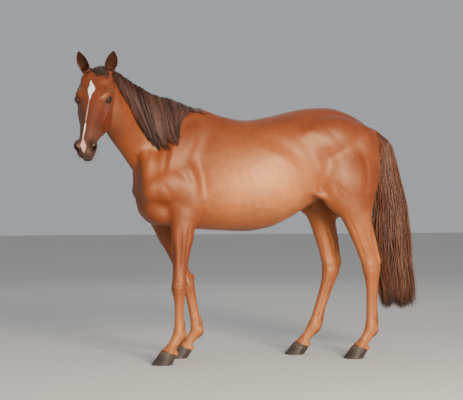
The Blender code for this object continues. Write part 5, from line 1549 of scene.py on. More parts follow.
def unwrap(co, no):
    """Place of points of the skin on its unwrap: six charts by the way the skin faces."""
    side = np.argmax(np.abs(no), axis=1)
    sign = (no[np.arange(len(no)), side] > 0).astype(int)
    low, size = np.array((-0.60, -1.25, -0.05)), 2.45
    q = (co - low) / size
    u = np.where(side == 0, q[:, 1], q[:, 0])
    v = np.where(side == 2, q[:, 1], q[:, 2])
    return np.stack([(side + np.clip(u, 0, 0.99)) / 3, (sign + np.clip(v, 0, 0.99)) / 2], axis=1) * 0.994


def finish_piece(obj, material, cad=()):
    obj.data.transform(Matrix.Translation(Vector(SHIFT.tolist())))
    obj.data.materials.clear()
    obj.data.materials.append(material)
    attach(obj, "root")
    if cad:
        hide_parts(*cad)
    COUNT[obj.name] = len(obj.data.loops) - 2 * len(obj.data.polygons)
    return obj


def grid_at(grid, a, b):
    """Reads a grid of points at fractions a of its columns and b of its rows."""
    n, m = grid.shape[:2]
    x, y = np.clip(a, 0, 1) * (n - 1), np.clip(b, 0, 1) * (m - 1)
    i, j = np.minimum(x.astype(int), n - 2), np.minimum(y.astype(int), m - 2)
    fx, fy = (x - i)[..., None], (y - j)[..., None]
    return (grid[i, j] * (1 - fx) + grid[i + 1, j] * fx) * (1 - fy) + (grid[i, j + 1] * (1 - fx) + grid[i + 1, j + 1] * fx) * fy


LOCKS = (  # place along the neck (0 withers, 1 poll), how far the hair falls, how far its tip lies back
    (0.020, 0.014, 0.020),
    (0.090, 0.022, 0.014),
    (0.160, 0.040, 0.004),
    (0.215, 0.080, -0.004),
    (0.285, 0.205, 0.014),
    (0.355, 0.285, 0.050),
    (0.430, 0.325, 0.078),
    (0.500, 0.352, 0.098),
    (0.570, 0.372, 0.120),
    (0.640, 0.385, 0.142),
    (0.715, 0.385, 0.160),
    (0.760, 0.350, 0.150),
    (0.800, 0.260, 0.100),
    (0.850, 0.150, 0.055),
    (0.900, 0.080, 0.030),
)


def mane_sheet(tree, count=80, rows=26):
    """Where the hair of the mane lies: a sheet over the crest and down the near side, as places and skin directions."""
    bm = bmesh.new()
    neck_loft(bm)
    level_loft(bm, TRUNK, 60, ring=56)
    for s in (1, -1):
        blob(bm, (s * 0.112, -0.520, 1.235), (0.070, 0.115, 0.255), (-38, -s * 13, 0))
    guess = BVHTree.FromBMesh(bm)
    bm.free()
    crest = np.array([tuple(p) for p in smooth_path([k[0] for k in NECK], 141)])
    place = np.zeros((count, rows, 3))
    facing = np.zeros((count, rows, 3))
    for i, (u, fall, back) in enumerate(zip(*table_at(LOCKS, count))):
        root = Vector(crest[int(round(u * 140))].tolist())
        full = 0.15 + 0.85 * float(step(u, 0.0, 0.16))
        for j in range(rows):
            if j == 0:
                hit = tree.find_nearest(root + Vector((-0.030 * full, 0, -0.014 * full)))
            elif j == 1:
                hit = tree.find_nearest(root + Vector((-0.010 * full, 0, 0.02)))
            elif j == 2:
                hit = tree.find_nearest(root + Vector((0.012 * full, 0.002, 0.012)))
            else:
                t = (j - 2) / (rows - 3)
                aim = Vector((root.x + 0.30, root.y + back * t**1.5, root.z - 0.014 - (fall - 0.014) * t))
                first = guess.ray_cast(aim, Vector((-1, 0, 0)))[0] or aim
                hit = tree.find_nearest(first)
            place[i, j] = hit[0]
            facing[i, j] = hit[1]
    for _ in range(6):
        for grid in (facing, place):
            grid[:, 3:-1] = (grid[:, 2:-2] + grid[:, 4:] + 2 * grid[:, 3:-1]) / 4
            grid[1:-1] = (grid[:-2] + grid[2:] + 2 * grid[1:-1]) / 4
    facing /= np.linalg.norm(facing, axis=2, keepdims=True)
    return place, facing


def mane_strands(name, sheet, seed, number, layer_low, layer_high, points=9):
    place, facing = sheet
    r = np.random.default_rng(seed)
    a = r.random(number) ** 0.95
    locks = 64
    lock = np.clip((a * locks + r.normal(0, 0.5, number)).astype(int), 0, locks - 1)
    each = np.random.default_rng(91)
    centre = (np.arange(locks) + 0.5 + each.normal(0, 0.25, locks)) / locks
    long = each.uniform(0.84, 1.05, locks)
    phase = each.uniform(0, 6.28, locks)
    proud = each.uniform(0.5, 1.25, locks)
    tone = each.uniform(0, 1, locks)
    start = r.uniform(0.00, 0.085, number)
    end = long[lock] * r.choice([1.0, 0.93, 0.82, 0.66, 0.45], number, p=[0.42, 0.26, 0.17, 0.10, 0.05]) * r.uniform(0.96, 1.03, number)
    layer = r.uniform(layer_low, layer_high, number) * proud[lock]
    t = np.linspace(0, 1, points)[None]
    row = start[:, None] + (np.minimum(end, 1.0)[:, None] - start[:, None]) * t
    gather = (0.18 + 0.52 * r.random(number))[:, None] * t**1.4
    # the hair gets thin and flat towards the withers, and stands highest over the middle of the crest
    thin = 0.22 + 0.78 * step(a, 0.03, 0.22)
    top = np.sin(np.clip(row / 0.17, 0, 1) * math.pi) * (0.014 * np.exp(-(((a - 0.32) / 0.13) ** 2)))[:, None]
    col = a[:, None] + (centre[lock] - a)[:, None] * gather + r.normal(0, 0.004, number)[:, None] * t
    p, no = grid_at(place, col, row), grid_at(facing, col, row)
    over = np.maximum(end - 1.0, 0)[:, None] * t**3
    p[..., 2] -= over * 0.3
    lift = 0.0022 + top + (thin * layer)[:, None] * (0.008 + 0.017 * np.sin(np.clip(t * 1.15, 0, 1) * math.pi * 0.62)) * (1 - 0.30 * t**2)
    lift = lift + 0.0035 * t**3 * (thin * r.normal(0, 1, number))[:, None]
    wave = 0.0030 * np.sin(t * 7.0 + phase[lock][:, None]) * t + 0.0012 * np.sin(t * 19 + r.uniform(0, 6.28, number)[:, None]) * t
    p = p + no * np.maximum(lift, 0.0015)[..., None]
    p[..., 1] += wave + r.normal(0, 0.0025, number)[:, None] * t
    width = (0.0019 * r.uniform(0.7, 1.25, number))[:, None] * np.array([0.5] + [1.0] * (points - 4) + [0.85, 0.6, 0.2])[None]
    uv = unwrap(p[:, 0], no[:, 0])
    shade = np.clip(0.62 * tone[lock] + 0.38 * r.random(number), 0, 1)
    return strands(name, p, no, width, width * 0.42, uv, {"lock": shade, "warm": np.zeros(number)})


def forelock_strands(tree, number, points=8):
    """Short hair from the poll, parted over the forehead, some of it swept past the near ear."""
    r = np.random.default_rng(23)
    path = np.zeros((number, points, 3))
    out = np.zeros((number, points, 3))
    turn = HEAD.to_3x3()
    down = turn @ Vector((0, 0, -1))
    kind = r.random(number)
    tone = np.random.default_rng(5).random(26)
    lock = r.integers(0, 26, number)
    spread = np.random.default_rng(6).uniform(-1, 1, 26)
    for i in range(number):
        x0 = r.uniform(-0.030, 0.030)
        y0 = r.uniform(0.004, 0.050)
        if kind[i] < 0.66:
            aim = 0.030 * spread[lock[i]] + r.normal(0, 0.004)
            far = (0.016 + 0.046 * ((lock[i] * 7) % 10) / 10) * r.uniform(0.55, 1.0) * (1 - 0.30 * abs(spread[lock[i]]))
            bend = 0.0
        elif kind[i] < 0.86:
            aim, far, bend = 0.072 + r.normal(0, 0.004), r.uniform(0.030, 0.105), 0.6
        elif kind[i] < 0.95:
            aim, far, bend = -0.054 + r.normal(0, 0.005), r.uniform(0.025, 0.060), 0.5
        else:
            aim, far, bend = 0.016 + r.normal(0, 0.010), r.uniform(0.070, 0.100), 0.2
        for j in range(points):
            t = j / (points - 1)
            x = x0 + (aim - x0) * t ** (1.0 + bend)
            y = y0 - far * t - 0.010 * t
            hit, normal, _, _ = tree.ray_cast(HEAD @ Vector((x, y, 0.10)), down, 0.4)
            if hit is None or (hit - HEAD @ Vector((x, y, 0.0))).dot(turn @ Vector((0, 0, 1))) > 0.035:
                hit, normal = HEAD @ Vector((x, y, 0.014)), turn @ Vector((0, 0, 1))
            rise = (0.003 + 0.013 * math.sin(math.pi * min(1, 0.15 + t)) * (0.4 + 0.6 * ((i * 37) % 100) / 100)) * (1 - 0.5 * t)
            path[i, j] = hit + normal * rise
            out[i, j] = normal
    path[:, 1:-1] = (path[:, :-2] + path[:, 2:] + 2 * path[:, 1:-1]) / 4
    path[:, 1:-1] = (path[:, :-2] + path[:, 2:] + 2 * path[:, 1:-1]) / 4
    width = (0.0014 * r.uniform(0.7, 1.2, number))[:, None] * np.array([0.9] + [1.0] * (points - 4) + [0.8, 0.5, 0.2])[None]
    shade = np.clip(0.6 * tone[lock] + 0.4 * r.random(number), 0, 1)
    return strands("forelock_hair", path, out, width, width * 0.42, unwrap(path[:, 0], out[:, 0]), {"lock": shade * 0.55, "warm": np.zeros(number)})


def tail_strands(name, seed, number, inner, outer, points=15):
    """Hair from the dock, hanging in waved locks."""
    r = np.random.default_rng(seed)
    rows = np.array(TAIL)[::-1]
    locks = 70
    each = np.random.default_rng(17)
    lock_angle = np.sort(each.uniform(0, 2 * math.pi, locks))
    lock_end = 0.288 + 0.055 * each.random(locks) ** 1.5
    lock_short = each.random(locks) < 0.16
    lock_end[lock_short] += each.uniform(0.08, 0.38, lock_short.sum())
    phase = 2.2 * np.sin(lock_angle * 2) + each.normal(0, 0.7, locks)
    tone = each.random(locks)
    beat = each.uniform(0.060, 0.074, locks)
    lock_r = each.uniform(0.72, 1.04, locks)
    lock = r.integers(0, locks, number)
    z0 = 1.392 - 0.345 * r.random(number) ** 1.3
    z1 = lock_end[lock] + 0.150 * r.random(number) ** 2.4
    angle0 = lock_angle[lock] + r.normal(0, 0.30, number)
    rad1 = r.uniform(inner, outer, number) * lock_r[lock]
    t = np.linspace(0, 1, points)[None]
    z = z0[:, None] + (z1 - z0)[:, None] * t**1.05
    rad0 = 0.80 + 0.30 * (rad1 - 0.5)
    opened = np.clip(t * 3.0, 0, 1)
    rad = rad0[:, None] + (rad1 - rad0)[:, None] * opened * opened * (3 - 2 * opened)
    gather = (0.30 + 0.50 * r.random(number))[:, None] * t**1.1
    angle = angle0[:, None] + (lock_angle[lock] - angle0)[:, None] * gather
    ymid = hermite(rows[:, 0], rows[:, 1], z)
    deep = hermite(rows[:, 0], rows[:, 2], z)
    wide = hermite(rows[:, 0], rows[:, 3], z)
    narrow = 1 - 0.10 * np.clip((0.42 - z) / 0.12, 0, 1) * r.random(number)[:, None]
    deep = np.maximum(deep, 0.104 * np.clip((0.60 - z) / 0.10, 0, 1))
    c, s = np.cos(angle), np.sin(angle)
    y = ymid + deep * rad * c * narrow
    y = y + 0.040 * (c > 0.35) * (r.random(number) < 0.30)[:, None] * np.clip((0.62 - z) / 0.32, 0, 1) ** 2
    x = wide * rad * s * narrow
    # the hair lies close against the buttocks under the dock
    y = y - 0.023 * (1 - c) * np.exp(-(((z - 1.17) / 0.145) ** 2))
    amount = 0.0085 * np.clip((1.24 - z) / 0.22, 0, 1) * np.clip((z - 0.28) / 0.45, 0.25, 1)
    w1 = np.sin(2 * math.pi * z / beat[lock][:, None] + phase[lock][:, None])
    w2 = np.sin(2 * math.pi * z / (beat[lock][:, None] * 1.37) + 2 * phase[lock][:, None])
    y = y + amount * w1 * 1.0 + 0.007 * r.normal(0, 1, number)[:, None] * t * t
    x = x + amount * w2 * 0.8 + 0.005 * r.normal(0, 1, number)[:, None] * t * t
    stray = (r.random(number) < 0.02)[:, None] * t**2
    y = y + 0.030 * stray * np.abs(r.normal(0, 0.7, number))[:, None]
    p = np.stack([x, y, z], axis=2)
    out = np.stack([s / wide, c / deep, np.zeros_like(c)], axis=2)
    out /= np.linalg.norm(out, axis=2, keepdims=True)
    width = (0.0024 * r.uniform(0.7, 1.25, number))[:, None] * np.array([0.35] + [1.0] * (points - 5) + [0.9, 0.75, 0.5, 0.2])[None]
    shade = np.clip(0.55 * tone[lock] + 0.45 * r.random(number), 0, 1)
    warm = np.clip((z0 - 1.12) / 0.28, 0, 1) * 0.5 + 0.5 * (r.random(number) < 0.25)
    return strands(name, p, out, width, width * 0.42, unwrap(p[:, 0], out[:, 0]), {"lock": shade, "warm": warm})


DOCK = ((0, 0.660, 1.400), (0, 0.740, 1.396), (0, 0.800, 1.352), (0, 0.838, 1.290), (0, 0.850, 1.230))


def dock_strands(tree, number, points=7):
    """The first hair of the tail, lying down the dock from a point on the croup."""
    r = np.random.default_rng(51)
    line = np.array([tuple(p) for p in smooth_path(DOCK, 61)])
    along = np.gradient(line, axis=0)
    along /= np.linalg.norm(along, axis=1, keepdims=True)
    lateral = np.array((1.0, 0.0, 0.0))
    low = r.random(number) ** 0.8
    u0 = 0.16 + 0.56 * low
    turn0 = np.clip(r.normal(0, 0.75, number), -1.45, 1.45) * (0.14 + 1.05 * low)
    long = r.uniform(0.10, 0.20, number) / 0.285
    path = np.zeros((number, points, 3))
    out = np.zeros((number, points, 3))
    for j in range(points):
        t = j / (points - 1)
        at = np.minimum(u0 + long * t, 1.0)
        k = np.rint(at * 60).astype(int)
        turn = turn0 * (1 + 0.45 * t)
        up = np.cross(lateral, along[k])
        n = lateral * np.sin(turn)[:, None] + up * np.cos(turn)[:, None]
        middle = line[k]
        for i in range(number):
            hit = tree.ray_cast(Vector(middle[i] + n[i] * 0.12), Vector(-n[i]), 0.2)
            place = np.array(hit[0]) if hit[0] is not None else middle[i] + n[i] * 0.034
            face = np.array(hit[1]) if hit[0] is not None else n[i]
            path[i, j] = place + face * (0.0004 + 0.0100 * t * (0.4 + 0.6 * ((i * 29) % 100) / 100))
            out[i, j] = face
    for _ in range(2):
        path[:, 1:-1] = (path[:, :-2] + path[:, 2:] + 2 * path[:, 1:-1]) / 4
    width = (0.0019 * r.uniform(0.7, 1.2, number))[:, None] * np.array([0.3] + [1.0] * (points - 4) + [0.8, 0.5, 0.2])[None]
    return strands("tail_dock", path, out, width, width * 0.42, unwrap(path[:, 0], out[:, 0]), {"lock": r.random(number) * 0.8, "warm": 0.7 * np.ones(number)})


def tail_core():
    """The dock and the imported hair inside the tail."""
    bm = bmesh.new()
    rows = np.array(TAIL)[::-1]
    rings = []
    for z in np.linspace(1.398, 0.42, 60):
        y, d, w = (float(hermite(rows[:, 0], rows[:, k], z)) for k in (1, 2, 3))
        shrink = 0.58 * (1 - 0.85 * max(0, (0.60 - z) / 0.20) ** 2)
        ring = []
        for i in range(48):
            t = 2 * math.pi * i / 48
            ripple = 1 + 0.05 * math.sin(9 * t + 5 * z) + 0.03 * math.sin(17 * t - 9 * z)
            ring.append(Vector((w * shrink * ripple * math.sin(t), y - 0.012 * math.exp(-(((z - 1.17) / 0.145) ** 2)) + d * shrink * ripple * math.cos(t), z)))
        rings.append(ring)
    loft(bm, rings)
    obj = to_object(bm, "tail_core")
    for p in obj.data.polygons:
        p.use_smooth = True
    co = coords(obj)
    put_value(obj, np.full(len(co), 0.1), "lock")
    put_value(obj, np.full(len(co), 0.3), "along")
    put_value(obj, np.clip((co[:, 2] - 1.12) / 0.28, 0, 1), "warm")
    return obj


# ---------------------------------------------------------------- tufts of the short coat


def lie(co):
    """The way the coat lies at points in the world."""
    d = np.zeros_like(co)
    z = co[:, 2]
    legs = 1 - step(z, 0.72, 1.00)
    d[:, 1] = 1.0 - legs
    d[:, 2] = -0.30 - 0.9 * legs
    rump = step(co[:, 1], 0.45, 0.75)
    d[:, 2] -= 1.1 * rump
    chest = (1 - step(co[:, 1], -0.70, -0.55)) * (1 - step(z, 1.15, 1.30))
    d[:, 2] -= 0.9 * chest
    d[:, 1] -= 0.9 * chest
    p = local_of(co)
    on_head = (1 - step(p[:, 1], -0.06, 0.03)) * (np.abs(p[:, 0]) < 0.16) * (p[:, 2] < 0.2) * (p[:, 2] > -0.36)
    turn = np.array(HEAD.to_3x3())
    cheek = step(-p[:, 2], 0.10, 0.20) * (1 - step(-p[:, 1], 0.28, 0.40))
    face = np.zeros_like(co)
    face[:, 1] = -1 + 1.6 * cheek
    face[:, 2] = -0.9 * cheek - 0.15
    face = face @ turn.T
    neck = step(-co[:, 1], 0.55, 0.70) * (1 - on_head) * step(z, 1.15, 1.25)
    d[:, 2] -= 0.75 * neck
    d = d * (1 - on_head)[:, None] + face * on_head[:, None]
    return d / (np.linalg.norm(d, axis=1, keepdims=True) + 1e-9)


def tuft_piece(name, co, no, colour, seed, long, width, stand, points=4, spread=0.25, direction=None, material=None):
    """Short tufts at points of the skin, lying along the coat."""
    r = np.random.default_rng(seed)
    n = len(co)
    d = (lie(co) if direction is None else direction) + r.normal(0, spread, (n, 3))
    d -= no * np.sum(d * no, axis=1, keepdims=True)
    d /= np.linalg.norm(d, axis=1, keepdims=True) + 1e-9
    long, width, stand = (np.broadcast_to(np.asarray(v, float), n) * r.uniform(0.75, 1.25, n) for v in (long, width, stand))
    t = np.linspace(0, 1, points)[None, :, None]
    rise = stand[:, None, None] * np.sin(t * math.pi * 0.55)
    path = co[:, None] - no[:, None] * 0.0006 + d[:, None] * long[:, None, None] * t + no[:, None] * rise
    path[..., 2] -= 0.10 * (long[:, None] * t[..., 0] ** 2) * (stand[:, None] > 0.004)
    out = np.repeat(no[:, None], points, axis=1)
    shape = np.array([0.8, 1.0, 0.7, 0.1]) if points == 4 else np.array([0.8] + [1.0] * (points - 3) + [0.6, 0.1])
    w = width[:, None] * shape[None]
    shade = np.clip(colour * r.uniform(0.80, 1.22, n)[:, None], 0.003, 0.95)
    put = {"Col": shade, "leg": 1 - step(co[:, 2], 0.80, 1.00), "bare": np.zeros(n)}
    return strands(name, path, out, w, w * (0.22 if np.max(stand) < 0.002 else 0.35), unwrap(co, no), put, no)


def skin_samples(skin, seed, number, weight):
    """Random points of the skin, thicker where the weight is higher."""
    co, no = coords(skin), normals(skin)
    r = np.random.default_rng(seed)
    w = np.clip(weight, 0, None)
    chosen = r.choice(len(co), number, p=w / w.sum())
    return co[chosen] + r.normal(0, 0.0012, (number, 3)) * 0.8, no[chosen], chosen


# ---------------------------------------------------------------- eyes and hooves


def eyeball(s):
    c, along, up, look = eye_frame(s)
    bm = bmesh.new()
    bmesh.ops.create_uvsphere(bm, u_segments=56, v_segments=40, radius=EYE_RADIUS)
    turn = Matrix((along, up, look)).transposed().to_4x4()
    # the cornea stands a little proud of the ball
    for v in bm.verts:
        d = v.co.normalized()
        rise = max(0.0, d.z - 0.62) / 0.38
        v.co = d * (EYE_RADIUS + 0.0007 * rise * rise * (3 - 2 * rise))
    bmesh.ops.transform(bm, matrix=Matrix.Translation(c) @ turn, verts=bm.verts)
    for f in bm.faces:
        f.smooth = True
    eye = to_object(bm, "eyeball_left" if s > 0 else "eyeball_right")
    return eye


def hoof(name):
    """Horn wall with growth rings, drawn in at the heels, and a concave sole with its frog."""
    steps, count = 34, 96
    rings = hoof_rings(name, steps, count)
    joints, _, turn = LEGS[name]
    turn = math.radians(turn)
    front = Vector((math.sin(turn), -math.cos(turn), 0))
    side = front.cross(Z).normalized()
    base = Vector((joints[3][0], joints[3][1], GROUND))
    co = np.array([[tuple(p) for p in ring] for ring in rings])
    middle = co.mean(axis=1, keepdims=True)
    out = co - middle
    out[:, :, 2] = 0
    out /= np.linalg.norm(out, axis=2, keepdims=True)
    a = np.linspace(0, 1, steps)[:, None, None]
    t = np.linspace(0, 2 * math.pi, count, endpoint=False)[None, :, None]
    toe = np.cos(t)
    seed = sum(ord(ch) for ch in name)
    waves = 0.00055 * np.sin(a * 44 + 0.6 * np.sin(t + seed)) + 0.0004 * np.sin(a * 23 + seed)
    rim = -0.0022 * np.exp(-(((a - 0.93) / 0.035) ** 2)) + 0.0016 * np.exp(-(((a - 0.86) / 0.04) ** 2))
    chips = -0.0008 * (np.sin(t * 13 + seed) + np.sin(t * 7)) * np.exp(-((a / 0.05) ** 2))
    bevel = -0.0020 * np.exp(-((a / 0.022) ** 2))
    heel = -0.0080 * np.exp(-(((t - math.pi) / 0.22) ** 2)) * (1 - 0.3 * a)
    co = co + out * (waves + rim + chips + bevel + heel)
    bm = bmesh.new()
    made = [[bm.verts.new(p) for p in ring] for ring in co]
    for lower, upper in zip(made, made[1:]):
        for i in range(count):
            bm.faces.new((lower[i], lower[(i + 1) % count], upper[(i + 1) % count], upper[i]))
    top_mid = bm.verts.new(tuple(np.mean(co[-1], axis=0)))
    for i in range(count):
        bm.faces.new((made[-1][i], made[-1][(i + 1) % count], top_mid))
    # the wall's lower edge, the white line, then the hollow of the sole with its frog
    centre = co[0].mean(axis=0)
    before = made[0]
    f3, s3 = np.array(front), np.array(side)
    for share, rise in ((0.90, 0.0), (0.86, 0.0022), (0.74, 0.0040), (0.58, 0.0060), (0.42, 0.0075), (0.26, 0.0085), (0.12, 0.0090)):
        ring = []
        for i in range(count):
            p = centre + (co[0][i] - centre) * share
            v = p - np.array(base)
            ahead, across = v @ f3, v @ s3
            frog = max(0.0, 1 - abs(across) / (0.006 + 0.020 * min(max((0.030 - ahead) / 0.060, 0), 1))) * float(step(0.045 - ahead, 0, 0.02))
            p = p.copy()
            p[2] = GROUND + rise * (1 - 0.85 * min(frog * 1.6, 1))
            ring.append(bm.verts.new(p))
        for i in range(count):
            bm.faces.new((before[(i + 1) % count], before[i], ring[i], ring[(i + 1) % count]))
        before = ring
    last = bm.verts.new(np.mean([tuple(v.co) for v in before], axis=0))
    for i in range(count):
        bm.faces.new((before[(i + 1) % count], before[i], last))
    for f in bm.faces:
        f.smooth = True
    obj = to_object(bm, "horn_" + name)
    p = coords(obj)
    low = p[:, 2] - GROUND
    put_value(obj, np.clip(low / 0.080, 0, 1), "ring")
    return obj


# ---------------------------------------------------------------- where the short coat breaks the form


def point_area(skin, co):
    """How much of the surface each point of the skin stands for."""
    mesh = skin.data
    mesh.calc_loop_triangles()
    tri = np.empty(len(mesh.loop_triangles) * 3, np.int32)
    mesh.loop_triangles.foreach_get("vertices", tri)
    tri = tri.reshape(-1, 3)
    size = np.linalg.norm(np.cross(co[tri[:, 1]] - co[tri[:, 0]], co[tri[:, 2]] - co[tri[:, 0]]), axis=1)
    return np.bincount(tri.ravel(), np.repeat(size, 3), len(co))


def coat_tufts(co, no, colour, area, tree, scale):
    """Flat tufts over the body, denser where the coat is longer or changes its lie; lashes and whiskers."""
    p = local_of(co)
    head = (1 - step(p[:, 1], -0.03, 0.06)) * (1 - step(np.abs(p[:, 0]), 0.13, 0.17)) * (p[:, 2] < 0.26) * (p[:, 2] > -0.36)
    x, y, z = co.T
    body = 1 - head
    down = np.clip(-no[:, 2], 0, 1)

    def put(name, seed, number, weight, long, width, stand, spread=0.18, tone=1.0, direction=None, points=4):
        r = np.random.default_rng(seed)
        w = np.clip(weight * area, 0, None)
        chosen = r.choice(len(co), max(int(number * scale), 8), p=w / w.sum())
        ends = [np.asarray(v)[chosen] if np.ndim(v) else v for v in (long, width, stand)]
        way = None if direction is None else direction[chosen]
        shift = r.normal(0, 0.0012, (len(chosen), 3))
        shift -= no[chosen] * np.sum(shift * no[chosen], axis=1, keepdims=True)
        return tuft_piece(name, co[chosen] + shift, no[chosen], colour[chosen] * tone, seed + 1, *ends, points, spread, way)

    trunk = body * step(z, 0.80, 0.95)
    made = [put("fur_body", 61, 5200, trunk * (1 + 0.8 * value_noise(co, 9.0, 31)) * (np.abs(x) > 0.02), 0.018, 0.0008, 0.0008, 0.08)]
    legs = body * (1 - step(z, 0.80, 0.95)) * step(z, 0.11, 0.16)
    made.append(put("fur_legs", 63, 2200, legs, 0.011, 0.0006, 0.0007, 0.08))
    # longer coat along the belly, the brisket, the flank fold, the elbows and between the thighs
    belly = trunk * down * (z < 1.06) * (np.abs(y) < 0.62)
    breast = near_ball(co, (0, -0.72, 1.00), 0.24, 1.0) * 0.35
    fold = sum(near_ball(co, (s * 0.17, 0.34, 1.02), 0.10, 1.0) + near_ball(co, (s * 0.16, -0.36, 0.93), 0.09, 1.0) for s in (1, -1))
    thighs = near_ball(co, (0, 0.70, 1.02), 0.22, 1.0)
    made.append(put("fur_long", 65, 4200, belly * 0.8 + breast + fold * 1.6 + thighs * 0.8, 0.020, 0.0006, 0.0017, 0.16, 1.10))
    # backs of the fetlocks, the tendons behind them, and the coronets
    low = np.zeros(len(co))
    for name, leg in LEGS.items():
        back = leg_at(leg, 2.05, -0.050)
        low = low + 1.5 * near_ball(co, tuple(back), 0.055, 1.0) + 0.5 * near_ball(co, tuple(leg_at(leg, 1.80, -0.036)), 0.06, 1.0)
    low = low * body
    hang = np.zeros_like(co)
    hang[:, 1], hang[:, 2] = 0.25, -1
    made.append(put("fur_fetlocks", 67, 1500, low, 0.024, 0.0009, 0.0030, 0.20, 0.92, hang))
    collar = body * step(z, GROUND + 0.066, GROUND + 0.082) * (1 - step(z, GROUND + 0.112, GROUND + 0.128))
    hang[:, 1] = 0
    made.append(put("fur_coronets", 69, 2200, collar, 0.017, 0.0008, 0.0022, 0.15, 0.95, hang))
    # the head: flat hair on the face, longer under the jaw and round the ears
    drop = POLL.z - z
    ear = np.zeros(len(co))
    cup = np.zeros(len(co))
    for s in (1, -1):
        root = np.array((s * EAR_ROOT.x, EAR_ROOT.y, EAR_ROOT.z))
        axis = np.array(Vector((s * EAR_AXIS.x + EAR_SWING, EAR_AXIS.y, EAR_AXIS.z)).normalized())
        t = (p - root) @ axis / EAR_LENGTH
        around = np.linalg.norm(p - root - np.outer(t * EAR_LENGTH, axis), axis=1)
        here = step(t, 0.02, 0.12) * (around < 0.06) * (np.abs(p[:, 0]) > 0.015)
        ear = np.maximum(ear, here)
        inward = local_of(co + no) - p
        cup = np.maximum(cup, here * step(inward @ np.array((s * 0.30, -0.85, 0.40)), 0.05, 0.50) * (around < 0.036) * (1 - step(t, 0.62, 0.92)))
    face = head * (1 - ear) * (drop < 0.52) * (1 - bare_at(p))
    made.append(put("fur_face", 71, 3000, face, 0.0055, 0.00045, 0.0006, 0.12))
    jaw = head * (1 - ear) * step(-p[:, 2], 0.10, 0.17) * (1 - step(-p[:, 1], 0.42, 0.52))
    made.append(put("fur_jaw", 73, 1100, jaw, 0.012, 0.0005, 0.0012, 0.15, 1.08))
    turn = np.array(HEAD.to_3x3())
    up = np.tile(np.array((0, 0.15, 1.0)) @ turn.T, (len(co), 1))
    made.append(put("fur_ears", 75, 900, ear * (1 - np.clip(cup, 0, 1)), 0.0046, 0.0004, 0.0001, 0.05, 1.0, up))
    made.append(put("fur_ear_cups", 77, 1300, cup, 0.012, 0.0004, 0.0016, 0.16, 1.25, up))
    made.append(whiskers(tree, scale))
    made.append(lashes(tree))
    return made


def bare_at(p):
    """1 on the bare skin of the muzzle, in the head's frame."""
    return step(-p[:, 1], 0.545, 0.600)


def thin_hairs(name, roots, ways, normal, long, width, curve, colour, points=5):
    t = np.linspace(0, 1, points)[None, :, None]
    path = roots[:, None] + ways[:, None] * long[:, None, None] * t + curve[:, None] * (long[:, None, None] * t * t)
    path[:, 0] -= ways * 0.002
    out = np.repeat(normal[:, None], points, axis=1)
    w = np.broadcast_to(width, len(roots))[:, None] * np.array([1.0] * (points - 2) + [0.6, 0.1])[None]
    return strands(name, path, out, w, w * 0.9, unwrap(roots, normal), {"Col": np.tile(np.array(colour), (len(roots), 1))})


def lashes(tree):
    """Lashes along the upper lids, a few along the lower ones."""
    roots, ways, normal, long, curve = [], [], [], [], []
    r = np.random.default_rng(81)
    for s in (1, -1):
        c, along, up, look = eye_frame(s)
        for k in range(64):
            upper = k < 50
            a = math.radians(r.uniform(28, 158) if upper else -r.uniform(30, 150))
            high = EYE_HIGH if upper else EYE_LOW
            q = c + along * (EYE_WIDE * math.cos(a) * 1.02) + up * (high * math.sin(a) * 1.10) + look * (EYE_RADIUS * 0.92)
            hit, n, _, _ = tree.find_nearest(q)
            if hit is None:
                continue
            w = (look * 0.9 + up * ((0.10 if upper else -0.40) + 0.15 * r.normal()) + along * (0.40 * math.cos(a) + 0.12 * r.normal())).normalized()
            roots.append(tuple(hit))
            ways.append(tuple(w))
            normal.append(tuple(up))
            long.append(r.uniform(0.010, 0.017) if upper else r.uniform(0.005, 0.009))
            curve.append((0, 0, -0.35))
    return thin_hairs("lashes", np.array(roots), np.array(ways), np.array(normal), np.array(long), 0.00036, np.array(curve), (0.020, 0.010, 0.008))


def whiskers(tree, scale):
    """Long feelers on the lips, the chin and under the nostrils."""
    roots, ways, normal, long, curve = [], [], [], [], []
    r = np.random.default_rng(83)
    turn = HEAD.to_3x3()
    for k in range(120):
        s = 1 if k % 2 else -1
        start = HEAD @ Vector((s * r.uniform(0.002, 0.10), -r.uniform(0.49, 0.64), -r.uniform(0.12, 0.26)))
        aim = HEAD @ Vector((0, -0.54, -0.115))
        hit, n, _, _ = tree.ray_cast(start + (start - aim).normalized() * 0.15, (aim - start).normalized(), 0.4)
        if hit is None:
            continue
        w = (n + turn @ Vector((0, -0.35, -0.25)) + Vector(tuple(r.normal(0, 0.12, 3)))).normalized()
        roots.append(tuple(hit))
        ways.append(tuple(w))
        normal.append(tuple(n))
        long.append(r.uniform(0.012, 0.038))
        curve.append((0, 0, -0.25))
    return thin_hairs("whiskers", np.array(roots), np.array(ways), np.array(normal), np.array(long), 0.00022, np.array(curve), (0.030, 0.016, 0.012))


# ---------------------------------------------------------------- putting it together

remove_all()
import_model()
skin = made_skin()
co, no = coords(skin), normals(skin)
colour, bare = coat_colour(co, no)
put_colour(skin, colour)
put_value(skin, 1 - step(co[:, 2], 0.80, 1.00), "leg")
put_value(skin, bare, "bare")
for poly in skin.data.polygons:
    poly.use_smooth = True
coat = coat_material()
tree = skin_tree(skin)
scale = 1.0
fur = coat_tufts(co, no, colour, point_area(skin, co), tree, scale)
finish_piece(skin, coat, ("trunk", "neck", "head", "ear_left", "ear_right", *LEGS))
hair_look = tuft_material()
for piece in fur:
    finish_piece(piece, hair_look if piece.name in ("whiskers", "lashes") else coat)
mane_look = hair_material("mane_hair", (0.024, 0.008, 0.006), (0.060, 0.019, 0.012), (0.135, 0.052, 0.036), (0.14, 0.040, 0.016))
tail_look = hair_material("tail_hair", (0.026, 0.0078, 0.0043), (0.078, 0.025, 0.0118), (0.190, 0.086, 0.046), (0.155, 0.036, 0.009))
sheet = mane_sheet(tree)
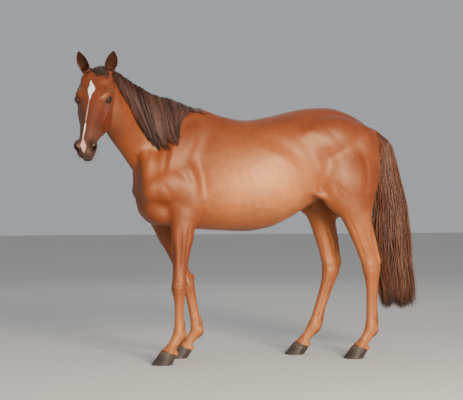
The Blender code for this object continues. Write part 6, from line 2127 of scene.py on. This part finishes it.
finish_piece(mane_strands("mane_under", sheet, 31, int(3350 * scale), 0.05, 0.65), mane_look, ("mane",))
finish_piece(mane_strands("mane_over", sheet, 32, int(3350 * scale), 0.45, 1.0), mane_look)
finish_piece(forelock_strands(tree, int(1500 * scale)), mane_look, ("forelock",))
finish_piece(tail_core(), tail_look, ("tail",))
finish_piece(dock_strands(tree, int(1000 * scale)), tail_look)
finish_piece(tail_strands("tail_inner", 41, int(2200 * scale), 0.50, 0.85), tail_look)
finish_piece(tail_strands("tail_outer", 42, int(2200 * scale), 0.75, 1.02), tail_look)
finish_piece(tail_strands("tail_over", 43, int(2200 * scale), 0.88, 1.05), tail_look)
horn = hoof_material()
for s, side in ((1, "left"), (-1, "right")):
    finish_piece(eyeball(s), eye_material(s), ("eye_" + side,))
for name in LEGS:
    node = {"foreleg_left": "hoof_fore_left", "foreleg_right": "hoof_fore_right", "hindleg_left": "hoof_hind_left", "hindleg_right": "hoof_hind_right"}[name]
    finish_piece(hoof(name), horn, (node,))

# ---------------------------------------------------------------- floor, light and camera

bm = bmesh.new()
bmesh.ops.create_grid(bm, x_segments=1, y_segments=1, size=30)
floor = to_object(bm, "floor")
n = Nodes("floor")
n.set(Roughness=0.85, Specular_IOR_Level=0.2)
n.shader.inputs["Base Color"].default_value = (0.62, 0.61, 0.59, 1)
floor.data.materials.append(n.material)

world = bpy.data.worlds.new("studio")
world.use_nodes = True
world.node_tree.nodes["Background"].inputs["Color"].default_value = (0.94, 0.96, 1.0, 1)
world.node_tree.nodes["Background"].inputs["Strength"].default_value = 0.42
bpy.context.scene.world = world


def area_light(name, place, target, size, power, colour):
    data = bpy.data.lights.new(name, "AREA")
    data.shape, data.size, data.energy, data.color = "DISK", size, power, colour
    light = bpy.data.objects.new(name, data)
    light.location = place
    light.rotation_euler = (Vector(target) - Vector(place)).to_track_quat("-Z", "Y").to_euler()
    bpy.context.scene.collection.objects.link(light)


area_light("key", (7.6, 1.3, 2.9), (0, 0, 1.0), 2.8, 1180, (1.0, 0.90, 0.76))
area_light("fill", (5.0, -6.0, 3.5), (0, -0.2, 1.0), 4.0, 60, (1.0, 0.96, 0.92))
area_light("back", (-6.0, 1.0, 5.0), (0, 0, 1.1), 6.0, 60, (0.92, 0.96, 1.0))

camera = bpy.data.cameras.new("camera")
camera.sensor_width, camera.lens = 36, 1394 / 463 * 36
eye_point = bpy.data.objects.new("camera", camera)
eye_point.location = (8.0227, -2.2571, 0.963)
eye_point.rotation_euler = Vector((-0.9659, 0.2588, 0)).to_track_quat("-Z", "Y").to_euler()
bpy.context.scene.collection.objects.link(eye_point)
bpy.context.scene.camera = eye_point

print("triangles", COUNT, sum(COUNT.values()))
